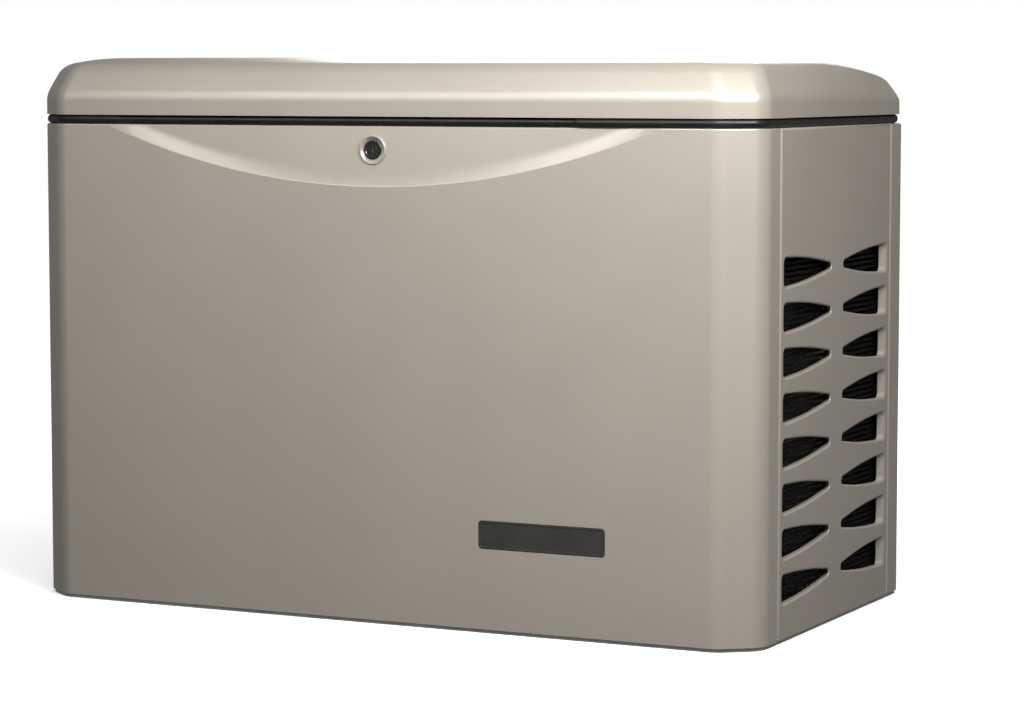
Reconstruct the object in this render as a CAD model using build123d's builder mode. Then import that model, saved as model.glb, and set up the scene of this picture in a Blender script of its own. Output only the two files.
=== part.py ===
"""Home standby generator: a sheet-metal cabinet with a hinged roof, a lift-off front panel and vented ends.

Inside stands an air-cooled V-twin gas engine with an in-line alternator, with its muffler, fuel regulator,
battery, controller and circuit breaker. Millimetres, +Z up, front towards -Y, origin at the bottom centre.
"""

from build123d import *
from math import sqrt
import os

os.makedirs("parts", exist_ok=True)

# ------------------------------------------------------------------ driving sizes
# Cabinet
width = 1219.0
depth = 665.0
height = 845.0
panel_bottom = 6.0
panel_top = 743.0
seal_gap = 14.0
corner_x = 56.0
corner_y = 43.0
corner_radius = 38.0
sheet = 3.0
touch_gap = 0.3
running_gap = 0.05

# Panel seams, in the end faces
front_seam_y = -235.0
rear_seam_y = 230.0
seam_gap = 2.0
seam_flange = 15.0
bend_radius = 5.0
top_flange = 18.0

# Curved recess at the top of the front panel
recess_low = 653.0
recess_half_width = 467.0
recess_inner_low = 675.0
recess_inner_half_width = 414.0
recess_depth = 9.0

# Roof
roof_shoulder = 36.0
roof_slope_start_y = -50.0
roof_rear_drop = 32.0
roof_foam_thickness = 12.0
roof_foam_bottom = 775.0

# Air openings of the end panels
vent_rows = 8
vent_pitch = 65.5
vent_first_z = 78.0
vent_centre_y = -2.5
vent_tip = 27.0
vent_blunt = 218.0
vent_blunt_half = 21.5
vent_tip_half = 5.0
vent_tip_round = 6.0
vent_knee_share = 0.45
vent_knee_half = 17.0
vent_bend_share = 0.754
vent_bend_half = 11.5
vent_blunt_fillet = 8.0
vent_lip = 14.0
vent_lip_wall = 2.5
screen_gap = 2.0
screen_thickness = 2.0
screen_slot = 4.0
screen_pitch = 8.0

# Lock
lock_z = 708.0
lock_ring_radius = 22.5
lock_plug_radius = 14.7
lock_cam_length = 34.0
lock_cam_width = 12.0
lock_ring_rise = 4.0
lock_plug_rise = 2.5
lock_barrel_wall = 2.0

# Name plate, low on the front
badge_x = 278.0
badge_z = 146.5
badge_length = 204.0
badge_height = 42.0
badge_thickness = 1.6

# Base tray
tray_floor = 4.0
tray_wall = 50.0
anchor_spacing_x = 1150.0
anchor_spacing_y = 500.0
anchor_radius = 5.5

# Engine and alternator on one shaft line along X
crank_y = 20.0
crank_z = 300.0
crankcase_left = -180.0
crankcase_right = 60.0
crankcase_half = 125.0
case_wall = 12.0
shaft_radius = 25.0
cylinder_reach = 120.0
cylinder_fins = 8
fin_pitch = 10.5
fin_size = 104.0
stator_radius = 115.0
stator_bore = 80.5
stator_left = 110.0
stator_right = 290.0
air_gap = 1.5
cradle_top = 100.0
cradle_rail = 50.0
cradle_rail_y = 100.0
fan_radius = 130.0
blower_radius = 150.0
blower_left = -250.0

# Divider and what it carries
divider_x = 372.0
muffler_x = 480.0
muffler_y = 30.0
muffler_z = 480.0
muffler_radius = 68.0
muffler_length = 300.0
pipe_radius = 16.0
pipe_wall = 2.0

# Control side
mount_plate_y = -229.0
mount_plate_low = 380.0
mount_plate_tall = 355.0
control_left = 120.0
case_x = 250.0
case_z = 652.0
case_size = (190.0, 66.0, 126.0)
button_radius = 7.0
button_pitch = 26.0
breaker_z = 480.0
breaker_size = (84.0, 60.0, 130.0)

# Fuel side
fuel_x = -450.0
fuel_inlet_z = 150.0
fuel_bore = 13.0
conduit_x = 250.0
conduit_z = 160.0
conduit_radius = 17.5
fit_gap = 0.5

# Battery
battery_x = -430.0
battery_y = -205.0
battery_size = (240.0, 170.0, 206.0)

# Roof hinges and stay
hinge_back = 6.5
hinge_radius = 5.5
hinge_pin_radius = 2.5
hinge_places = (-400.0, 0.0, 400.0)
hinge_knuckle = 22.0
hinge_leaf = 2.4
hinge_leaf_height = 24.0
stay_inset = 25.5
stay_y = 200.0
stay_z = 733.0
stay_length = 400.0
stay_radius = 4.0

# ------------------------------------------------------------------ worked-out places
lid_bottom = panel_top + seal_gap
hinge_z = panel_top + seal_gap / 2
half_width = width / 2
half_depth = depth / 2
wall_x = half_width - sheet
wall_y = half_depth - sheet
tray_inset = sheet + fit_gap
hinge_y = half_depth - hinge_back
stay_x = wall_x - stay_inset
front_plane = Plane(origin=(0, -half_depth, 0), x_dir=(1, 0, 0), z_dir=(0, -1, 0))


# ------------------------------------------------------------------ shared shapes
def cabinet_outline(inset=0.0):
    """Plan outline of the cabinet, moved in by inset, with cut and rounded corners."""
    normal_length = sqrt(corner_x**2 + corner_y**2)
    miter = (normal_length - corner_x) / corner_y
    miter_y = (normal_length - corner_y) / corner_x
    x_outer = half_width - inset
    y_outer = half_depth - inset
    x_inner = half_width - corner_x - inset * miter
    y_inner = half_depth - corner_y - inset * miter_y
    corners = [
        (x_outer, -y_inner),
        (x_outer, y_inner),
        (x_inner, y_outer),
        (-x_inner, y_outer),
        (-x_outer, y_inner),
        (-x_outer, -y_inner),
        (-x_inner, -y_outer),
        (x_inner, -y_outer),
    ]
    with BuildSketch() as outline:
        with BuildLine():
            Polyline(*corners, close=True)
        make_face()
        fillet(outline.vertices(), radius=corner_radius - inset)
    return outline.sketch


def ring_between(outer_inset, inner_inset, y_low, y_high):
    """Strip of the plan outline between two insets, kept from y_low to y_high."""
    with BuildSketch() as strip:
        add(cabinet_outline(outer_inset))
        add(cabinet_outline(inner_inset), mode=Mode.SUBTRACT)
        with Locations((0, (y_low + y_high) / 2)):
            Rectangle(2 * width, y_high - y_low, mode=Mode.INTERSECT)
    return strip.sketch


def wrap_profile(y_seam, y_far):
    """Plan section of a panel that wraps two corners, with a bent flange along each seam."""
    side = 1 if y_far > y_seam else -1
    low = min(y_seam, y_far)
    high = max(y_seam, y_far)
    with BuildSketch() as profile:
        add(ring_between(0, sheet, low, high))
        with Locations((half_width - seam_flange / 2, y_seam + side * sheet / 2)):
            Rectangle(seam_flange, sheet)
        with Locations((-half_width + seam_flange / 2, y_seam + side * sheet / 2)):
            Rectangle(seam_flange, sheet)
        bends = profile.vertices().filter_by(lambda v: abs(abs(v.X) - half_width) < 0.01)
        fillet(bends.filter_by(lambda v: abs(v.Y - y_seam) < 0.01), radius=bend_radius - 0.5)
    return profile.sketch


def region_above_arc(low, half, top):
    """Area above an arc that is low at the middle and passes panel_top at half from the middle."""
    rise = panel_top - low
    radius = (half**2 + rise**2) / (2 * rise)
    x_top = sqrt(radius**2 - (radius - (top - low)) ** 2)
    with BuildSketch() as region:
        with BuildLine():
            ThreePointArc((-x_top, top), (0, low), (x_top, top))
            Line((x_top, top), (-x_top, top))
        make_face()
    return region.sketch


def teardrop(side, grow=0.0):
    """Air opening in a sketch of Y across and Z up, its round tip towards the middle of the panel."""
    length = vent_blunt - vent_tip
    upper = [
        (side * vent_blunt, vent_blunt_half),
        (side * (vent_blunt - vent_knee_share * length), vent_knee_half),
        (side * (vent_blunt - vent_bend_share * length), vent_bend_half),
        (side * (vent_tip + vent_tip_round), vent_tip_half),
    ]
    lower = [(x, -z) for x, z in upper]
    with BuildSketch() as drop:
        with BuildLine():
            Line(lower[0], upper[0])
            Polyline(*upper)
            ThreePointArc(upper[-1], (side * vent_tip, 0), lower[-1])
            Polyline(*lower)
        make_face()
        fillet(drop.vertices().sort_by(Axis.X, reverse=side > 0)[:2], radius=vent_blunt_fillet)
        if grow > 0:
            offset(amount=grow)
    return drop.sketch


def roof_solid(inset):
    """The roof's filled outer form, all faces moved in by inset and open downwards at lid_bottom."""
    top = height - inset
    rear = half_depth - inset
    run = half_depth - roof_slope_start_y
    slope_radius = (run**2 + roof_rear_drop**2) / (2 * roof_rear_drop)
    drop = slope_radius - sqrt(slope_radius**2 - (rear - roof_slope_start_y) ** 2)
    mid_y = (roof_slope_start_y + rear) / 2
    mid_drop = slope_radius - sqrt(slope_radius**2 - (mid_y - roof_slope_start_y) ** 2)
    with BuildPart() as form:
        with BuildSketch(Plane.XY.offset(lid_bottom)):
            add(cabinet_outline(inset))
        extrude(amount=top - lid_bottom)
        with BuildSketch(Plane.YZ.offset(-width)):
            with BuildLine():
                Line((roof_slope_start_y, top), (roof_slope_start_y, top + 50))
                Line((roof_slope_start_y, top + 50), (depth, top + 50))
                Line((depth, top + 50), (depth, top - drop))
                Line((depth, top - drop), (rear, top - drop))
                ThreePointArc((rear, top - drop), (mid_y, top - mid_drop), (roof_slope_start_y, top))
            make_face()
        extrude(amount=2 * width, mode=Mode.SUBTRACT)
        upper = form.edges().filter_by(lambda e: e.center().Z > lid_bottom + 20)
        shoulder = upper.filter_by(lambda e: abs(e.tangent_at(0.5).Z) < 0.9)
        shoulder = shoulder.filter_by(lambda e: e.length < width * 0.8 or abs(e.center().Y) > half_depth / 2)
        fillet(shoulder, radius=roof_shoulder - inset)
    return form.part


# ------------------------------------------------------------------ base tray
with BuildPart() as base_tray:
    with BuildSketch(Plane.XY):
        add(cabinet_outline(tray_inset))
    extrude(amount=tray_wall)
    with BuildSketch(Plane.XY.offset(tray_floor)):
        add(cabinet_outline(tray_inset + tray_floor))
    extrude(amount=tray_wall, mode=Mode.SUBTRACT)
    with Locations((0, 0, tray_floor)):
        with GridLocations(anchor_spacing_x, anchor_spacing_y, 2, 2):
            Hole(radius=anchor_radius, depth=2 * tray_floor)
    with BuildSketch(Plane.XY.offset(panel_bottom - 1)):
        with Locations((0, front_seam_y), (0, rear_seam_y)):
            Rectangle(2 * width, 2 * (sheet + seam_gap))
    extrude(amount=tray_wall, mode=Mode.SUBTRACT)
base_tray.part.label = "base_tray"
export_step(base_tray.part, "parts/base_tray.step")


# ------------------------------------------------------------------ panels
with BuildPart() as rear_panel:
    with BuildSketch(Plane.XY.offset(panel_bottom)):
        add(wrap_profile(rear_seam_y + seam_gap / 2, half_depth + 1))
    extrude(amount=panel_top - panel_bottom)
    with BuildSketch(Plane.XY.offset(panel_top - sheet)):
        add(ring_between(sheet / 2, top_flange, rear_seam_y + seam_gap / 2, half_depth))
    extrude(amount=sheet)
    with BuildSketch(Plane.XY.offset(panel_top - sheet)):
        with Locations(*[(x, wall_y - top_flange / 2) for x in hinge_places]):
            Rectangle(3 * hinge_knuckle + 8, top_flange)
    extrude(amount=2 * sheet, mode=Mode.SUBTRACT)
    with BuildSketch(Plane.XZ.offset(-wall_y)):
        with Locations((fuel_x, fuel_inlet_z), (conduit_x, conduit_z)):
            Circle(conduit_radius + fit_gap)
    extrude(amount=-sheet, mode=Mode.SUBTRACT)
rear_panel.part.label = "rear_panel"
export_step(rear_panel.part, "parts/rear_panel.step")


def end_panel(side):
    """Flat end panel with bent edges and rolled-in air openings; side is +1 right, -1 left."""
    y_low = front_seam_y + seam_gap / 2
    y_high = rear_seam_y - seam_gap / 2
    face = Plane(origin=(side * half_width, vent_centre_y, 0), x_dir=(0, 1, 0), z_dir=(1, 0, 0))
    inward = -side
    with BuildPart() as panel:
        with BuildSketch(Plane.XY.offset(panel_bottom)) as section:
            with Locations((side * (half_width - sheet / 2), (y_low + y_high) / 2)):
                Rectangle(sheet, y_high - y_low)
            with Locations((side * (half_width - seam_flange / 2), y_low + sheet / 2)):
                Rectangle(seam_flange, sheet)
            with Locations((side * (half_width - seam_flange / 2), y_high - sheet / 2)):
                Rectangle(seam_flange, sheet)
            bends = section.vertices().filter_by(lambda v: abs(abs(v.X) - half_width) < 0.01)
            fillet(bends, radius=bend_radius - 0.5)
        extrude(amount=panel_top - panel_bottom)
        with BuildSketch(Plane.XY.offset(panel_top - sheet)):
            with Locations((side * (half_width - (sheet + top_flange) / 2), (y_low + y_high) / 2)):
                Rectangle(top_flange - sheet + 1, y_high - y_low - 2)
        extrude(amount=sheet)
        for column in (-1, 1):
            with BuildSketch(face.offset(-side * sheet / 2)):
                with Locations(*[(0, vent_first_z + row * vent_pitch) for row in range(vent_rows)]):
                    add(teardrop(column, vent_lip_wall))
            extrude(amount=inward * (vent_lip - sheet / 2))
            with BuildSketch(face.offset(side)):
                with Locations(*[(0, vent_first_z + row * vent_pitch) for row in range(vent_rows)]):
                    add(teardrop(column))
            extrude(amount=inward * (vent_lip + 2), mode=Mode.SUBTRACT)
    return panel.part


def air_screen(side):
    """Slotted black screen that stands behind the air openings."""
    x_outer = half_width - vent_lip - screen_gap
    rows = int((vent_rows * vent_pitch + 40) / screen_pitch)
    middle_z = vent_first_z + (vent_rows - 1) * vent_pitch / 2
    tall = rows * screen_pitch + 24
    outer_face = Plane(origin=(side * x_outer, vent_centre_y, middle_z), x_dir=(0, 1, 0), z_dir=(side, 0, 0))
    with BuildPart() as screen:
        with BuildSketch(outer_face):
            Rectangle(2 * vent_blunt + 6, tall)
        extrude(amount=-screen_thickness)
        with BuildSketch(outer_face):
            with GridLocations(vent_blunt, screen_pitch, 2, rows):
                Rectangle(vent_blunt - 16, screen_slot)
        extrude(amount=-screen_thickness, mode=Mode.SUBTRACT)
        with BuildSketch(outer_face):
            with GridLocations(2 * vent_blunt - 2, (vent_rows - 2) * vent_pitch, 2, 2):
                Rectangle(8, 8)
        extrude(amount=vent_lip + screen_gap - sheet)
    return screen.part


for side, name in ((-1, "left"), (1, "right")):
    panel = end_panel(side)
    panel.label = name + "_end_panel"
    export_step(panel, "parts/" + name + "_end_panel.step")
    screen = air_screen(side)
    screen.label = name + "_air_screen"
    export_step(screen, "parts/" + name + "_air_screen.step")

with BuildPart() as front_panel:
    with BuildSketch(Plane.XY.offset(panel_bottom)):
        add(wrap_profile(front_seam_y - seam_gap / 2, -half_depth - 1))
    extrude(amount=panel_top - panel_bottom)
    with BuildSketch(Plane.XY.offset(panel_top - sheet)):
        add(ring_between(sheet / 2, top_flange, -half_depth, front_seam_y - seam_gap / 2))
    extrude(amount=sheet)
    with BuildSketch(front_plane.offset(-sheet / 2)):
        add(region_above_arc(recess_low - sheet, recess_half_width + 2 * sheet, panel_top))
    extrude(amount=-(recess_depth + sheet / 2))
    with BuildSketch(front_plane):
        add(region_above_arc(recess_low, recess_half_width, lid_bottom))
    with BuildSketch(front_plane.offset(-recess_depth)):
        add(region_above_arc(recess_inner_low, recess_inner_half_width, lid_bottom))
    loft(ruled=True, mode=Mode.SUBTRACT)
    with BuildSketch(front_plane.offset(-recess_depth)):
        with Locations((0, lock_z)):
            Circle(lock_plug_radius + lock_barrel_wall + touch_gap)
    extrude(amount=-2 * sheet, mode=Mode.SUBTRACT)
    with BuildSketch(front_plane):
        with Locations((badge_x, badge_z)):
            RectangleRounded(badge_length + 0.6, badge_height + 0.6, 6.3)
    extrude(amount=-badge_thickness, mode=Mode.SUBTRACT)
front_panel.part.label = "front_panel"
export_step(front_panel.part, "parts/front_panel.step")

with BuildPart() as name_badge:
    with BuildSketch(front_plane.offset(-badge_thickness)):
        with Locations((badge_x, badge_z)):
            RectangleRounded(badge_length, badge_height, 6)
    extrude(amount=badge_thickness)
name_badge.part.label = "name_badge"
export_step(name_badge.part, "parts/name_badge.step")

foam_thickness = 20.0
with BuildPart() as front_foam:
    with BuildSketch(front_plane.offset(-sheet)):
        with Locations((0, (tray_wall + recess_low) / 2)):
            Rectangle(2 * (half_width - corner_x - 20), recess_low - tray_wall - 40)
    extrude(amount=-foam_thickness)
front_foam.part.label = "front_foam"
export_step(front_foam.part, "parts/front_foam.step")


# ------------------------------------------------------------------ lock
lock_face = front_plane.offset(-recess_depth)
barrel_length = 26.0
cam_thickness = 3.0
cam_plane = lock_face.offset(-barrel_length)

with BuildPart() as lock_housing:
    with BuildSketch(lock_face):
        with Locations((0, lock_z)):
            Circle(lock_ring_radius)
    extrude(amount=lock_ring_rise)
    fillet(lock_housing.edges().sort_by(Axis.Y)[:1], radius=2)
    with BuildSketch(lock_face):
        with Locations((0, lock_z)):
            Circle(lock_plug_radius + lock_barrel_wall)
    extrude(amount=-(barrel_length - 1))
    with BuildSketch(lock_face.offset(lock_ring_rise)):
        with Locations((0, lock_z)):
            Circle(lock_plug_radius + running_gap)
    extrude(amount=-(barrel_length + lock_ring_rise), mode=Mode.SUBTRACT)
    with BuildSketch(lock_face.offset(-sheet)):
        with Locations((0, lock_z)):
            Circle(lock_ring_radius)
            Circle(lock_plug_radius + 1.5, mode=Mode.SUBTRACT)
    extrude(amount=-6)
lock_housing.part.label = "lock_housing"
export_step(lock_housing.part, "parts/lock_housing.step")

with BuildPart() as lock_plug:
    with BuildSketch(lock_face.offset(lock_plug_rise)):
        with Locations((0, lock_z)):
            Circle(lock_plug_radius)
    extrude(amount=-(barrel_length + lock_plug_rise))
    with BuildSketch(lock_face.offset(lock_plug_rise)):
        with Locations((0, lock_z)):
            Circle(4.2)
        with Locations((0, lock_z)):
            Rectangle(2.4, 13)
    extrude(amount=-8, mode=Mode.SUBTRACT)
lock_plug.part.label = "lock_plug"
export_step(lock_plug.part, "parts/lock_plug.step")

with BuildPart() as lock_cam:
    with BuildSketch(cam_plane):
        with Locations((0, lock_z)):
            Circle(10)
        with Locations((0, lock_z + lock_cam_length / 2)):
            Rectangle(lock_cam_width, lock_cam_length)
    extrude(amount=-cam_thickness)
lock_cam.part.label = "lock_cam"
export_step(lock_cam.part, "parts/lock_cam.step")


# ------------------------------------------------------------------ roof
with BuildPart() as roof_shell:
    add(roof_solid(0))
    add(roof_solid(sheet), mode=Mode.SUBTRACT)
roof_shell.part.label = "roof_shell"
export_step(roof_shell.part, "parts/roof_shell.step")

with BuildPart() as roof_foam:
    add(roof_solid(sheet + touch_gap))
    add(roof_solid(sheet + roof_foam_thickness), mode=Mode.SUBTRACT)
    with Locations((0, 0, roof_foam_bottom)):
        Box(2 * width, 2 * depth, height, align=(Align.CENTER, Align.CENTER, Align.MIN), mode=Mode.INTERSECT)
roof_foam.part.label = "roof_foam"
export_step(roof_foam.part, "parts/roof_foam.step")

seal_rear_y = hinge_y - hinge_radius - 1.5
seal_width = 14.0
with BuildPart() as roof_seal:
    with BuildSketch(Plane.XY.offset(panel_top)):
        add(ring_between(0, seal_width, -half_depth, seal_rear_y))
        with Locations((0, seal_rear_y - seal_width / 2)):
            Rectangle(2 * (half_width - corner_x), seal_width)
    extrude(amount=seal_gap)
roof_seal.part.label = "roof_seal"
export_step(roof_seal.part, "parts/roof_seal.step")

# Catch: a strap that hangs from the roof's front wall, with a lip that the cam turns over
cam_back_y = -half_depth + recess_depth + barrel_length + cam_thickness
catch_y = cam_back_y + 3
catch_lip_top = lock_z - lock_cam_width / 2 - 2
catch_x = lock_plug_radius + 13.5
with BuildPart() as roof_catch:
    with Locations((catch_x, catch_y, catch_lip_top - sheet)):
        Box(20, sheet, lid_bottom + 18 - catch_lip_top + sheet, align=(Align.CENTER, Align.MIN, Align.MIN))
    with Locations((catch_x, catch_y + sheet, catch_lip_top - sheet)):
        Box(20, sheet + 12, sheet, align=(Align.CENTER, Align.MAX, Align.MIN))
    with Locations((catch_x, -wall_y, lid_bottom + 15)):
        Box(20, wall_y + catch_y + sheet, sheet, align=(Align.CENTER, Align.MIN, Align.MIN))
roof_catch.part.label = "roof_catch"
export_step(roof_catch.part, "parts/roof_catch.step")


# ------------------------------------------------------------------ hinges and stay
def hinge_leaves(direction, offsets, length):
    """Leaves with their knuckles; direction +1 stands up on the roof, -1 hangs on the rear panel."""
    with BuildPart() as leaves:
        for place in hinge_places:
            for shift in offsets:
                centre = place + shift
                with BuildSketch(Plane.YZ.offset(centre - length / 2)):
                    with Locations((hinge_y, hinge_z)):
                        Circle(hinge_radius)
                    with Locations((wall_y - hinge_leaf / 2, hinge_z + direction * hinge_leaf_height / 2)):
                        Rectangle(hinge_leaf, hinge_leaf_height)
                    with Locations((hinge_y, hinge_z)):
                        Circle(hinge_pin_radius + running_gap, mode=Mode.SUBTRACT)
                extrude(amount=length)
    return leaves.part


knuckle_length = hinge_knuckle - 0.6
fixed_hinge_leaves = hinge_leaves(-1, (-hinge_knuckle, hinge_knuckle), knuckle_length)
fixed_hinge_leaves.label = "fixed_hinge_leaves"
export_step(fixed_hinge_leaves, "parts/fixed_hinge_leaves.step")
roof_hinge_leaves = hinge_leaves(1, (0,), knuckle_length)
roof_hinge_leaves.label = "roof_hinge_leaves"
export_step(roof_hinge_leaves, "parts/roof_hinge_leaves.step")

with BuildPart() as hinge_pins:
    for place in hinge_places:
        with BuildSketch(Plane.YZ.offset(place - 1.5 * hinge_knuckle - 1)):
            with Locations((hinge_y, hinge_z)):
                Circle(hinge_pin_radius)
        extrude(amount=3 * hinge_knuckle + 2)
hinge_pins.part.label = "hinge_pins"
export_step(hinge_pins.part, "parts/hinge_pins.step")

stay_pin_radius = 4.0
with BuildPart() as stay_bracket:
    with Locations((wall_x - top_flange, stay_y, panel_top - sheet)):
        Box(sheet, 30, 22, align=(Align.MIN, Align.CENTER, Align.MAX))
    with Locations((wall_x - top_flange + sheet, stay_y, panel_top - sheet - 8)):
        Box(top_flange - sheet, 30, 8, align=(Align.MIN, Align.CENTER, Align.MIN))
    with BuildSketch(Plane.YZ.offset(wall_x - top_flange)):
        with Locations((stay_y, stay_z)):
            Circle(stay_pin_radius)
    extrude(amount=-11)
stay_bracket.part.label = "stay_bracket"
export_step(stay_bracket.part, "parts/stay_bracket.step")

with BuildPart() as lid_stay:
    with BuildSketch(Plane.YZ.offset(stay_x - 3)):
        with Locations((stay_y, stay_z)):
            Circle(9)
            Circle(stay_pin_radius + running_gap, mode=Mode.SUBTRACT)
    extrude(amount=6)
    with BuildSketch(Plane.XZ.offset(-stay_y + 7)):
        with Locations((stay_x, stay_z)):
            Circle(stay_radius - 1.1)
    extrude(amount=stay_length - 7)
lid_stay.part.label = "lid_stay"
export_step(lid_stay.part, "parts/lid_stay.step")


# ------------------------------------------------------------------ tubes and pipes
def swept_tube(points, bend, outer, inner=0.0):
    """Round tube along straight runs with tangent bends of one radius."""
    with BuildPart() as tube:
        with BuildLine() as route:
            FilletPolyline(*points, radius=bend)
        with BuildSketch(Plane(route.line @ 0, z_dir=route.line % 0)):
            Circle(outer)
            if inner > 0:
                Circle(inner, mode=Mode.SUBTRACT)
        sweep(path=route.line)
    return tube.part


# ------------------------------------------------------------------ engine carrier
cradle_left = -225.0
cradle_right = 345.0
mount_xs = (-202.0, 322.0)
mount_bolt_radius = 5.0
mount_radius = 22.0
rail_ys = (crank_y - cradle_rail_y, crank_y + cradle_rail_y)
mount_points = [(x, y) for x in mount_xs for y in rail_ys]
cradle_bottom = cradle_top - cradle_rail

with BuildPart() as engine_cradle:
    with BuildSketch(Plane.XY.offset(cradle_bottom)):
        for rail_y in rail_ys:
            with Locations(((cradle_left + cradle_right) / 2, rail_y)):
                Rectangle(cradle_right - cradle_left, 40)
        for cross_x in mount_xs:
            with Locations((cross_x, crank_y)):
                Rectangle(40, 2 * cradle_rail_y)
        with Locations(*mount_points):
            Circle(mount_bolt_radius + touch_gap, mode=Mode.SUBTRACT)
    extrude(amount=cradle_rail)
engine_cradle.part.label = "engine_cradle"
export_step(engine_cradle.part, "parts/engine_cradle.step")

with BuildPart() as vibration_mounts:
    with BuildSketch(Plane.XY.offset(tray_floor)):
        with Locations(*mount_points):
            Circle(mount_radius)
    extrude(amount=cradle_bottom - tray_floor)
    with BuildSketch(Plane.XY.offset(tray_floor + 5)):
        with Locations(*mount_points):
            Circle(mount_bolt_radius + touch_gap)
    extrude(amount=cradle_bottom, mode=Mode.SUBTRACT)
vibration_mounts.part.label = "vibration_mounts"
export_step(vibration_mounts.part, "parts/vibration_mounts.step")

with BuildPart() as mount_bolts:
    with BuildSketch(Plane.XY.offset(tray_floor + 6)):
        with Locations(*mount_points):
            Circle(mount_bolt_radius)
    extrude(amount=cradle_top - tray_floor - 6)
    with BuildSketch(Plane.XY.offset(cradle_top)):
        with Locations(*mount_points):
            RegularPolygon(radius=9, side_count=6)
    extrude(amount=7)
mount_bolts.part.label = "mount_bolts"
export_step(mount_bolts.part, "parts/mount_bolts.step")


# ------------------------------------------------------------------ engine
slant = 1 / sqrt(2)
front_cylinder_x = -85.0
rear_cylinder_x = -35.0
head_start = cylinder_reach + 95.0
head_height = 47.0
head_half = 50.0
cover_height = 30.0
banks = ((-1, front_cylinder_x), (1, rear_cylinder_x))


def bank_plane(side, x):
    """Plane through the shaft line, facing along one cylinder; side -1 leans to the front."""
    return Plane(origin=(x, crank_y, crank_z), x_dir=(1, 0, 0), z_dir=(0, side * slant, slant))


def case_section(inset):
    """Crankcase section across the shaft, with a flat seat for each cylinder."""
    half = crankcase_half - inset
    knee = (cylinder_reach - inset) * sqrt(2) - half
    low = cradle_top - crank_z + inset
    with BuildSketch() as section:
        with BuildLine():
            right_side = [(half, low), (half, knee), (knee, half)]
            left_side = [(-y, z) for y, z in reversed(right_side)]
            Polyline(*right_side, *left_side, close=True)
        make_face()
    return section.sketch.moved(Location((crank_y, crank_z)))


tube_x = -160.0
tube_y = crank_y - crankcase_half - 12
tube_top = 450.0
tube_low = 215.0
tube_bore = 5.0
with BuildPart() as crankcase:
    with BuildSketch(Plane.YZ.offset(crankcase_left)):
        add(case_section(0))
    extrude(amount=crankcase_right - crankcase_left)
    with BuildSketch(Plane.YZ.offset(crankcase_left + case_wall)):
        add(case_section(case_wall))
    extrude(amount=crankcase_right - crankcase_left - 2 * case_wall, mode=Mode.SUBTRACT)
    with BuildSketch(Plane.YZ.offset(crankcase_left - 1)):
        with Locations((crank_y, crank_z)):
            Circle(shaft_radius + running_gap)
    extrude(amount=crankcase_right - crankcase_left + 2, mode=Mode.SUBTRACT)
    with BuildSketch(Plane.XY.offset(tube_low)):
        with Locations((tube_x, tube_y)):
            Circle(10)
        with Locations((tube_x, tube_y + 6)):
            Rectangle(14, 12)
    extrude(amount=30)
    with BuildSketch(Plane.XY.offset(tube_low)):
        with Locations((tube_x, tube_y)):
            Circle(8.5)
    extrude(amount=tube_top - tube_low)
    with BuildSketch(Plane.XY.offset(tube_low + 5)):
        with Locations((tube_x, tube_y)):
            Circle(tube_bore)
    extrude(amount=tube_top, mode=Mode.SUBTRACT)
crankcase.part.label = "crankcase"
export_step(crankcase.part, "parts/crankcase.step")

with BuildPart() as dipstick:
    with BuildSketch(Plane.XY.offset(tube_low + 12)):
        with Locations((tube_x, tube_y)):
            Circle(2.5)
    extrude(amount=tube_top - tube_low - 12)
    with BuildSketch(Plane.XY.offset(tube_top - 22)):
        with Locations((tube_x, tube_y)):
            Circle(tube_bore - running_gap)
    extrude(amount=22)
    with BuildSketch(Plane.XY.offset(tube_top)):
        with Locations((tube_x, tube_y)):
            Circle(12)
    extrude(amount=20)
    fillet(dipstick.edges().sort_by(Axis.Z)[-1:], radius=4)
dipstick.part.label = "dipstick"
export_step(dipstick.part, "parts/dipstick.step")

with BuildPart() as cylinders:
    for side, x in banks:
        bank = bank_plane(side, x)
        with BuildSketch(bank.offset(cylinder_reach)):
            Circle(40)
        extrude(amount=head_start - cylinder_reach)
        with BuildSketch(bank.offset(cylinder_reach)):
            RectangleRounded(96, 96, 16)
        extrude(amount=8)
        for fin in range(cylinder_fins):
            with BuildSketch(bank.offset(cylinder_reach + 14 + fin * fin_pitch)):
                RectangleRounded(fin_size, fin_size, 18)
            extrude(amount=3)
        with BuildSketch(bank.offset(head_start)):
            RectangleRounded(2 * head_half, 2 * head_half, 8)
        extrude(amount=head_height)
cylinders.part.label = "cylinders"
export_step(cylinders.part, "parts/cylinders.step")

with BuildPart() as valve_covers:
    for side, x in banks:
        with BuildSketch(bank_plane(side, x).offset(head_start + head_height)):
            RectangleRounded(2 * head_half - 10, 2 * head_half - 10, 12)
        extrude(amount=cover_height, taper=6)
valve_covers.part.label = "valve_covers"
export_step(valve_covers.part, "parts/valve_covers.step")

with BuildPart() as blower_housing:
    with BuildSketch(Plane.YZ.offset(blower_left)):
        with Locations((crank_y, crank_z)):
            Circle(blower_radius)
    extrude(amount=crankcase_left - blower_left)
    with BuildSketch(Plane.YZ.offset(blower_left + sheet)):
        with Locations((crank_y, crank_z)):
            Circle(blower_radius - sheet)
    extrude(amount=crankcase_left - blower_left, mode=Mode.SUBTRACT)
    with BuildSketch(Plane.YZ.offset(blower_left - 1)):
        with Locations((crank_y, crank_z)):
            Circle(fan_radius - 25)
    extrude(amount=sheet + 2, mode=Mode.SUBTRACT)
    fillet(blower_housing.edges().filter_by(GeomType.CIRCLE).group_by(Axis.X)[0][-1:], radius=1.2)
blower_housing.part.label = "blower_housing"
export_step(blower_housing.part, "parts/blower_housing.step")

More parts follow.
